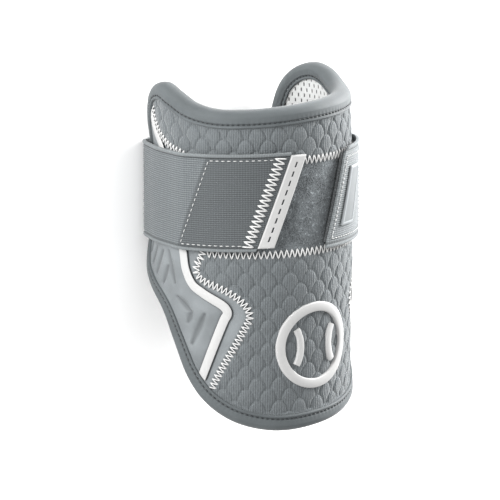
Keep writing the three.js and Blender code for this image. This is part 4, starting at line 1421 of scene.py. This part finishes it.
class GUARD_OT_strap(Builder, bpy.types.Operator):
    """Pull the elastic strap round the guard, with its hook pads, tab and badge"""

    bl_idname = "guard.strap"
    bl_label = "Strap"

    CORNER = 4.5 * MM
    SELVEDGE, SELVEDGE_FADE, SELVEDGE_ROLL = 1.6 * MM, 0.3 * MM, 0.25 * MM
    DITCH_IN, DITCH_REACH, DITCH_DEPTH = 0.35 * MM, 0.4 * MM, 0.35 * MM
    RIB_SEAT = 0.2 * MM
    CANVAS_FADE, PATCH_FADE = 1.0 * MM, 0.6 * MM
    DASHES = 9
    DASH_LENGTH, DASH_WIDTH, DASH_DEPTH = 2.7 * MM, 0.8 * MM, 0.3 * MM
    DASH_WALL = (-0.15 * MM, 0.1 * MM)
    TAB_PROUD, TAB_ROUND, TAB_DROP = 0.15 * MM, 0.8 * MM, 0.45 * MM
    RIM_WALL, RIM_HEIGHT = (1.3 * MM, 1.5 * MM), 0.25 * MM
    BADGE_ROUND, BADGE_DROP = 0.9 * MM, 0.35 * MM

    # Points along and across each band, and the step of its back's columns
    CELLS = {"band": (241, 337, 12), "hook": (61, 61, 6), "tab": (61, 241, 8), "badge": (65, 161, 8)}

    def build(self, sizes):
        self.band(sizes)
        self.hook_pads()
        self.pull_tab()
        self.badge()

    def side_start(self, along):
        """Angle of the side end, with its top corner rounded off by a quarter circle."""
        over = np.clip(along - (STRAP_HIGH - self.CORNER), 0, self.CORNER)
        back = self.CORNER - np.sqrt(self.CORNER**2 - over**2)
        return end_angle(SIDE_END, along) + back / OUTER_RADIUS

    def band(self, sizes):
        """The elastic itself, round the whole guard."""

        def from_edge(places):
            """Distance in from the nearest long edge."""
            return STRAP_WIDTH / 2 - np.abs(places[..., 1] - STRAP_CENTRE)

        def selvedge(places):
            """1 on the rolled edges, and 0 between them."""
            return 1 - smoothstep(from_edge(places) - self.SELVEDGE, 0, self.SELVEDGE_FADE)

        def ditch(places):
            """1 in the sewn ditch inside each edge, as a narrow bell."""
            gap = from_edge(places) - self.SELVEDGE - self.DITCH_IN
            return np.exp(-((gap / self.DITCH_REACH) ** 2))

        def lift(places):
            """Cosine ribs between the edges, which are rolled as half ellipses."""
            ribs = 0.5 - 0.5 * np.cos(TURN * places[..., 1] / sizes.rib_pitch)
            roll = np.sqrt(np.clip(1 - (2 * from_edge(places) / self.SELVEDGE - 1) ** 2, 0, 1))
            sunk = sizes.rib_height * ribs * (1 - selvedge(places)) + self.DITCH_DEPTH * ditch(places)
            return STRAP_TOP - self.RIB_SEAT - sunk + self.SELVEDGE_ROLL * roll

        def canvas(places):
            """1 on the lighter canvas of the side end."""
            run = places[..., 0] - end_angle(SIDE_END, places[..., 1]) * OUTER_RADIUS
            return 1 - smoothstep(run - SIDE_HOOK_LENGTH, 0, self.CANVAS_FADE)

        def patch(places):
            """1 on the sewn patch of the front end."""
            run = (TURN + end_angle(FRONT_END, places[..., 1])) * OUTER_RADIUS - places[..., 0]
            return 1 - smoothstep(run - FRONT_HOOK_LENGTH, 0, self.PATCH_FADE)

        ends = self.side_start, beside_end(FRONT_END, TURN * OUTER_RADIUS)
        heights = STRAP_LOW, STRAP_HIGH
        # selvedge and ditch also paint the strap: a painted highlight on the rolled edges, a painted shade in
        # the ditch.
        fields = {"patch": patch, "canvas": canvas, "selvedge": selvedge, "ditch": ditch}
        piece, places = strap_slab(
            "elastic_band", ends, heights, self.CELLS["band"], "strap", lift, STRAP_THICKNESS, fields
        )
        settle(piece, "strap_elastic", "strap")

    def hook_pads(self):
        """The hook tape under both ends."""

        def lift(places):
            return np.zeros(places.shape[:2])

        heights = STRAP_LOW + HOOK_MARGIN, STRAP_HIGH - HOOK_MARGIN
        reaches = ("front", FRONT_END, -FRONT_HOOK_LENGTH), ("side", SIDE_END, SIDE_HOOK_LENGTH)
        for word, end, reach in reaches:
            ends = beside_end(end, 0), beside_end(end, reach)
            piece, _ = strap_slab(
                f"{word}_hook_tape", ends, heights, self.CELLS["hook"], "hook", lift, HOOK_THICKNESS
            )
            settle(piece, "hook_tape", f"{word}_hook_pad")

    def pull_tab(self):
        """The tab beside the front end, with a row of pressed dashes and worn corners."""
        heights = STRAP_LOW + TAB_MARGIN, STRAP_HIGH - TAB_MARGIN
        centres = np.linspace(*heights, self.DASHES + 2)[1:-1]
        middle = beside_end(FRONT_END, GAP + TAB_WIDTH / 2)

        def marks(places):
            """1 inside the pressed dashes, which run along the tab in one row."""
            across = np.abs(places[..., 0] - middle(places[..., 1]) * OUTER_RADIUS)
            along = np.abs(places[..., 1, None] - centres).min(axis=-1)
            beside = smoothstep(self.DASH_WIDTH / 2 - across, *self.DASH_WALL)
            return beside * smoothstep(self.DASH_LENGTH / 2 - along, *self.DASH_WALL)

        def lift(places):
            worn = (1 - rim_fade(places, self.TAB_ROUND)) ** 2
            return STRAP_TOP + self.TAB_PROUD - self.TAB_DROP * worn - self.DASH_DEPTH * marks(places)

        ends = beside_end(FRONT_END, GAP), beside_end(FRONT_END, GAP + TAB_WIDTH)
        cells, fields = self.CELLS["tab"], {"dark_edge": marks}
        piece, _ = strap_slab("tab_rubber", ends, heights, cells, "rubber", lift, TAB_THICKNESS, fields)
        settle(piece, "white_rubber", "pull_tab")

    def badge(self):
        """The plain badge on the side end, with a raised border."""

        def rim(places):
            """1 on a plain raised border 1.4 mm wide, 0 inside it."""
            middle = end_angle(SIDE_END, places[..., 1]) * OUTER_RADIUS + BADGE_MARGIN + BADGE_WIDTH / 2
            across = BADGE_WIDTH / 2 - np.abs(places[..., 0] - middle)
            along = BADGE_HEIGHT / 2 - np.abs(places[..., 1] - STRAP_CENTRE)
            return 1 - smoothstep(np.minimum(across, along), *self.RIM_WALL)

        def lift(places):
            worn = (1 - rim_fade(places, self.BADGE_ROUND)) ** 2
            top = STRAP_TOP + GAP + BADGE_THICKNESS
            return top - self.BADGE_DROP * worn - self.RIM_HEIGHT * (1 - rim(places))

        ends = beside_end(SIDE_END, BADGE_MARGIN), beside_end(SIDE_END, BADGE_MARGIN + BADGE_WIDTH)
        heights = STRAP_CENTRE - BADGE_HEIGHT / 2, STRAP_CENTRE + BADGE_HEIGHT / 2
        cells, thickness = self.CELLS["badge"], BADGE_THICKNESS + GAP
        piece, _ = strap_slab("badge_face", ends, heights, cells, "badge", lift, thickness, {"rim": rim})
        settle(piece, "badge_print", "strap_badge")


class GUARD_OT_emblem(Builder, bpy.types.Operator):
    """Set the raised ball emblem on the lower panel"""

    bl_idname = "guard.emblem"
    bl_label = "Emblem"

    BEVEL = 0.5 * MM
    CROWN = 0.15 * MM
    ROOT = 1.1 * MM
    # A seam's arc as shares of the ring's radius: how far away its centre is, and its own radius
    ARC_AWAY, ARC_RADIUS = 1.25, 0.85

    def section(self, stroke):
        """Section of an emblem stroke: a bar with bevelled shoulders and a slightly crowned top."""
        half, top, bevel = stroke / 2, GAP + EMBLEM_THICKNESS, self.BEVEL
        left = [
            (-half, GAP - self.ROOT), (-half, top - bevel), (-half + 0.3 * bevel, top - 0.3 * bevel),
            (-half + bevel, top),
        ]
        return mirrored(left, top + self.CROWN)

    def stroke(self, name, node, line, width, count, closed):
        """One raised stroke of the emblem along a line."""
        section = self.section(width)
        share = np.arange(count) / count if closed else np.linspace(0, 1, count)
        beside = np.tile(section[:, 0], (count, 1))
        places = line.beside(np.repeat(share[:, None], len(section), 1), beside)
        run = np.repeat(share[:, None] * line.length, len(section), 1)
        uv = np.stack([beside, run], axis=-1)
        periods = (0, line.length if closed else 0)
        fields = {"dark_edge": 0 * beside}
        piece = swept(name, wrap(places, section[:, 1]), finish("rubber"), uv, closed, periods, fields)
        settle(piece, "white_rubber", node)

    def build(self, sizes):
        turn = np.linspace(0, TURN, 48, endpoint=False)
        middle = EMBLEM_RADIUS - EMBLEM_STROKE / 2
        circle = middle * np.stack([np.cos(turn), np.sin(turn)], axis=1) + (0, EMBLEM_HEIGHT)
        self.stroke("ball_ring", "emblem_ring", Path(circle, closed=True), EMBLEM_STROKE, 240, True)
        inside = EMBLEM_RADIUS - EMBLEM_STROKE - SEAM_CLEARANCE - SEAM_STROKE / 2
        away, radius = self.ARC_AWAY * EMBLEM_RADIUS, self.ARC_RADIUS * EMBLEM_RADIUS
        reach = math.acos((away**2 + radius**2 - inside**2) / (2 * away * radius))
        for side, word in ((-1, "left"), (1, "right")):
            facing = math.pi if side > 0 else 0
            turn = np.linspace(facing - reach, facing + reach, 25)
            arc = radius * np.stack([np.cos(turn), np.sin(turn)], axis=1) + (side * away, EMBLEM_HEIGHT)
            self.stroke(f"ball_{word}_seam", f"emblem_{word}_seam", Path(arc), SEAM_STROKE, 90, False)


class GUARD_OT_stitches(Builder, bpy.types.Operator):
    """Sew the zigzags and running stitches of the panels and the strap"""

    bl_idname = "guard.stitches"
    bl_label = "Stitches"

    # How far each kind of stitch lies over its cloth at its ends, and how far it arches
    SEAM, FIELD = (-0.15 * MM, 0.35 * MM), (-0.1 * MM, 0.35 * MM)
    BOLD, BOX, SIDE_BOX = (-0.05 * MM, 0.4 * MM), (-0.2 * MM, 0.2 * MM), (-0.1 * MM, 0.2 * MM)
    # Where on its line a side seam's zigzag starts and stops
    SEAM_SHARES = (0.02, 0.98)
    # How far the field's zigzags stop short of the side seams
    FIELD_IN = 2.5 * MM
    # Distances from the strap's slanted ends, from the end of the hook tape and from the long edges
    BOLD_IN, BOLD_FROM_EDGE = 1.9 * MM, 2 * MM
    BOX_NEAR, BOX_SHORT, BOX_FROM_EDGE = 7.5 * MM, 1.5 * MM, 3.2 * MM
    SIDE_NEAR, SIDE_SHORT, SIDE_FROM_LOW, SIDE_FROM_HIGH = 2.2 * MM, 4 * MM, 4.5 * MM, 5 * MM
    SIDE_STITCH = 2.2 * MM
    # Thread radii as shares of the thread's thickness
    BOLD_THREAD, BOX_THREAD, SIDE_THREAD = 0.66, 0.31, 0.4

    def build(self, sizes):
        for side, word in ((-1, "left"), (1, "right")):
            legs = zigzag(seams[side], *self.SEAM_SHARES, sizes.seam_stitch, sizes.seam_stitch_width)
            self.sew(f"{word}_seam_stitches", wrap, legs, sizes.thread / 2, self.SEAM)
        self.field_edges(sizes)
        self.front_zigzag(sizes)
        self.box(sizes)
        self.side_end(sizes)

    @staticmethod
    def sew(name, place, legs, radius, heights, cloth=0.0):
        """Sews legs of white thread on a cloth that is laid out by place() at a height of its own."""
        low, arch = heights
        piece = threads(name, place, *legs, finish("white thread"), radius, cloth + low, arch)
        settle(piece, "lining_mesh")

    @staticmethod
    def beside(end, heights, distance):
        """Points on the strap a distance beside a slanted end, one for each height."""
        return np.stack([end_angle(end, heights) * OUTER_RADIUS + distance, heights], axis=1)

    @staticmethod
    def running(lines, pitch):
        """Starts and ends of the running stitches on straight lines, each between two points."""
        pairs = [dashes(np.array(line), pitch) for line in lines]
        return [np.vstack(parts) for parts in zip(*pairs)]

    def field_edges(self, sizes):
        """Zigzags over the joins of the loop field with the quilted panels."""
        for word, level in (("lower", LOOP_LOW), ("upper", LOOP_HIGH)):
            ends = [seams[side].at(seams[side].share_at_height(level)) for side in (-1, 1)]
            left, right = ends[0][0] + self.FIELD_IN, ends[1][0] - self.FIELD_IN
            line = Path(np.array([(left, level), (right, level)]))
            legs = zigzag(line, 0, 1, sizes.field_stitch, sizes.field_stitch_width)
            self.sew(f"{word}_field_stitches", wrap, legs, sizes.thread / 2, self.FIELD)

    def front_zigzag(self, sizes):
        """Bold zigzag along the front end's slant."""
        inset = sizes.front_stitch_width / 2 + self.BOLD_IN
        heights = np.array([STRAP_LOW + self.BOLD_FROM_EDGE, STRAP_HIGH - self.BOLD_FROM_EDGE])
        line = Path(self.beside(FRONT_END, heights, -inset))
        legs = zigzag(line, 0, 1, sizes.front_stitch, sizes.front_stitch_width)
        self.sew("front_zigzag", on_strap, legs, self.BOLD_THREAD * sizes.thread, self.BOLD, STRAP_TOP)

    def box(self, sizes):
        """Running stitches round the sewn patch: along the top, down the left slant and along the bottom."""
        heights = np.array([STRAP_LOW + self.BOX_FROM_EDGE, STRAP_HIGH - self.BOX_FROM_EDGE])
        near = self.beside(FRONT_END, heights, -self.BOX_NEAR)
        far = self.beside(FRONT_END, heights, self.BOX_SHORT - FRONT_HOOK_LENGTH)
        lines = [(near[1], far[1]), (far[1], far[0]), (far[0], near[0])]
        legs = self.running(lines, sizes.box_stitch)
        self.sew("box_stitches", on_strap, legs, self.BOX_THREAD * sizes.thread, self.BOX, STRAP_TOP)

    def side_end(self, sizes):
        """Running stitches round the side end: along its slant, the two long edges and the canvas's end."""
        heights = np.array([STRAP_LOW + self.SIDE_FROM_LOW, STRAP_HIGH - self.SIDE_FROM_HIGH])
        near = self.beside(SIDE_END, heights, self.SIDE_NEAR)
        far = self.beside(SIDE_END, heights, self.SIDE_NEAR + SIDE_HOOK_LENGTH - self.SIDE_SHORT)
        lines = [(near[0], near[1]), (near[0], far[0]), (far[0], far[1]), (far[1], near[1])]
        legs = self.running(lines, self.SIDE_STITCH)
        radius = self.SIDE_THREAD * sizes.thread
        self.sew("side_end_stitches", on_strap, legs, radius, self.SIDE_BOX, STRAP_TOP)


BUILDERS = (
    GUARD_OT_stage,
    GUARD_OT_inner_layers,
    GUARD_OT_quilted_panels,
    GUARD_OT_side_panels,
    GUARD_OT_loop_field,
    GUARD_OT_edge_binding,
    GUARD_OT_strap,
    GUARD_OT_emblem,
    GUARD_OT_stitches,
)


class GUARD_PT_panel(bpy.types.Panel):
    """Lists the guard's builders, sizes and colours"""

    bl_label = "Elbow Guard"
    bl_idname = "GUARD_PT_panel"
    bl_space_type = "VIEW_3D"
    bl_region_type = "UI"
    bl_category = "Elbow Guard"

    def draw(self, context):
        for builder in BUILDERS:
            self.layout.operator(builder.bl_idname)
        for group in (context.scene.guard_sizes, context.scene.guard_colours):
            box = self.layout.box()
            for name in group.__annotations__:
                box.prop(group, name)


CLASSES = (GuardSizes, GuardColours, *BUILDERS, GUARD_PT_panel)


def register():
    for item in CLASSES:
        bpy.utils.register_class(item)
    bpy.types.Scene.guard_sizes = bpy.props.PointerProperty(type=GuardSizes)
    bpy.types.Scene.guard_colours = bpy.props.PointerProperty(type=GuardColours)


def unregister():
    del bpy.types.Scene.guard_colours
    del bpy.types.Scene.guard_sizes
    for item in reversed(CLASSES):
        bpy.utils.unregister_class(item)


def main():
    register()
    for builder in BUILDERS:
        group, name = builder.bl_idname.split(".")
        getattr(getattr(bpy.ops, group), name)()


if __name__ == "__main__":
    main()
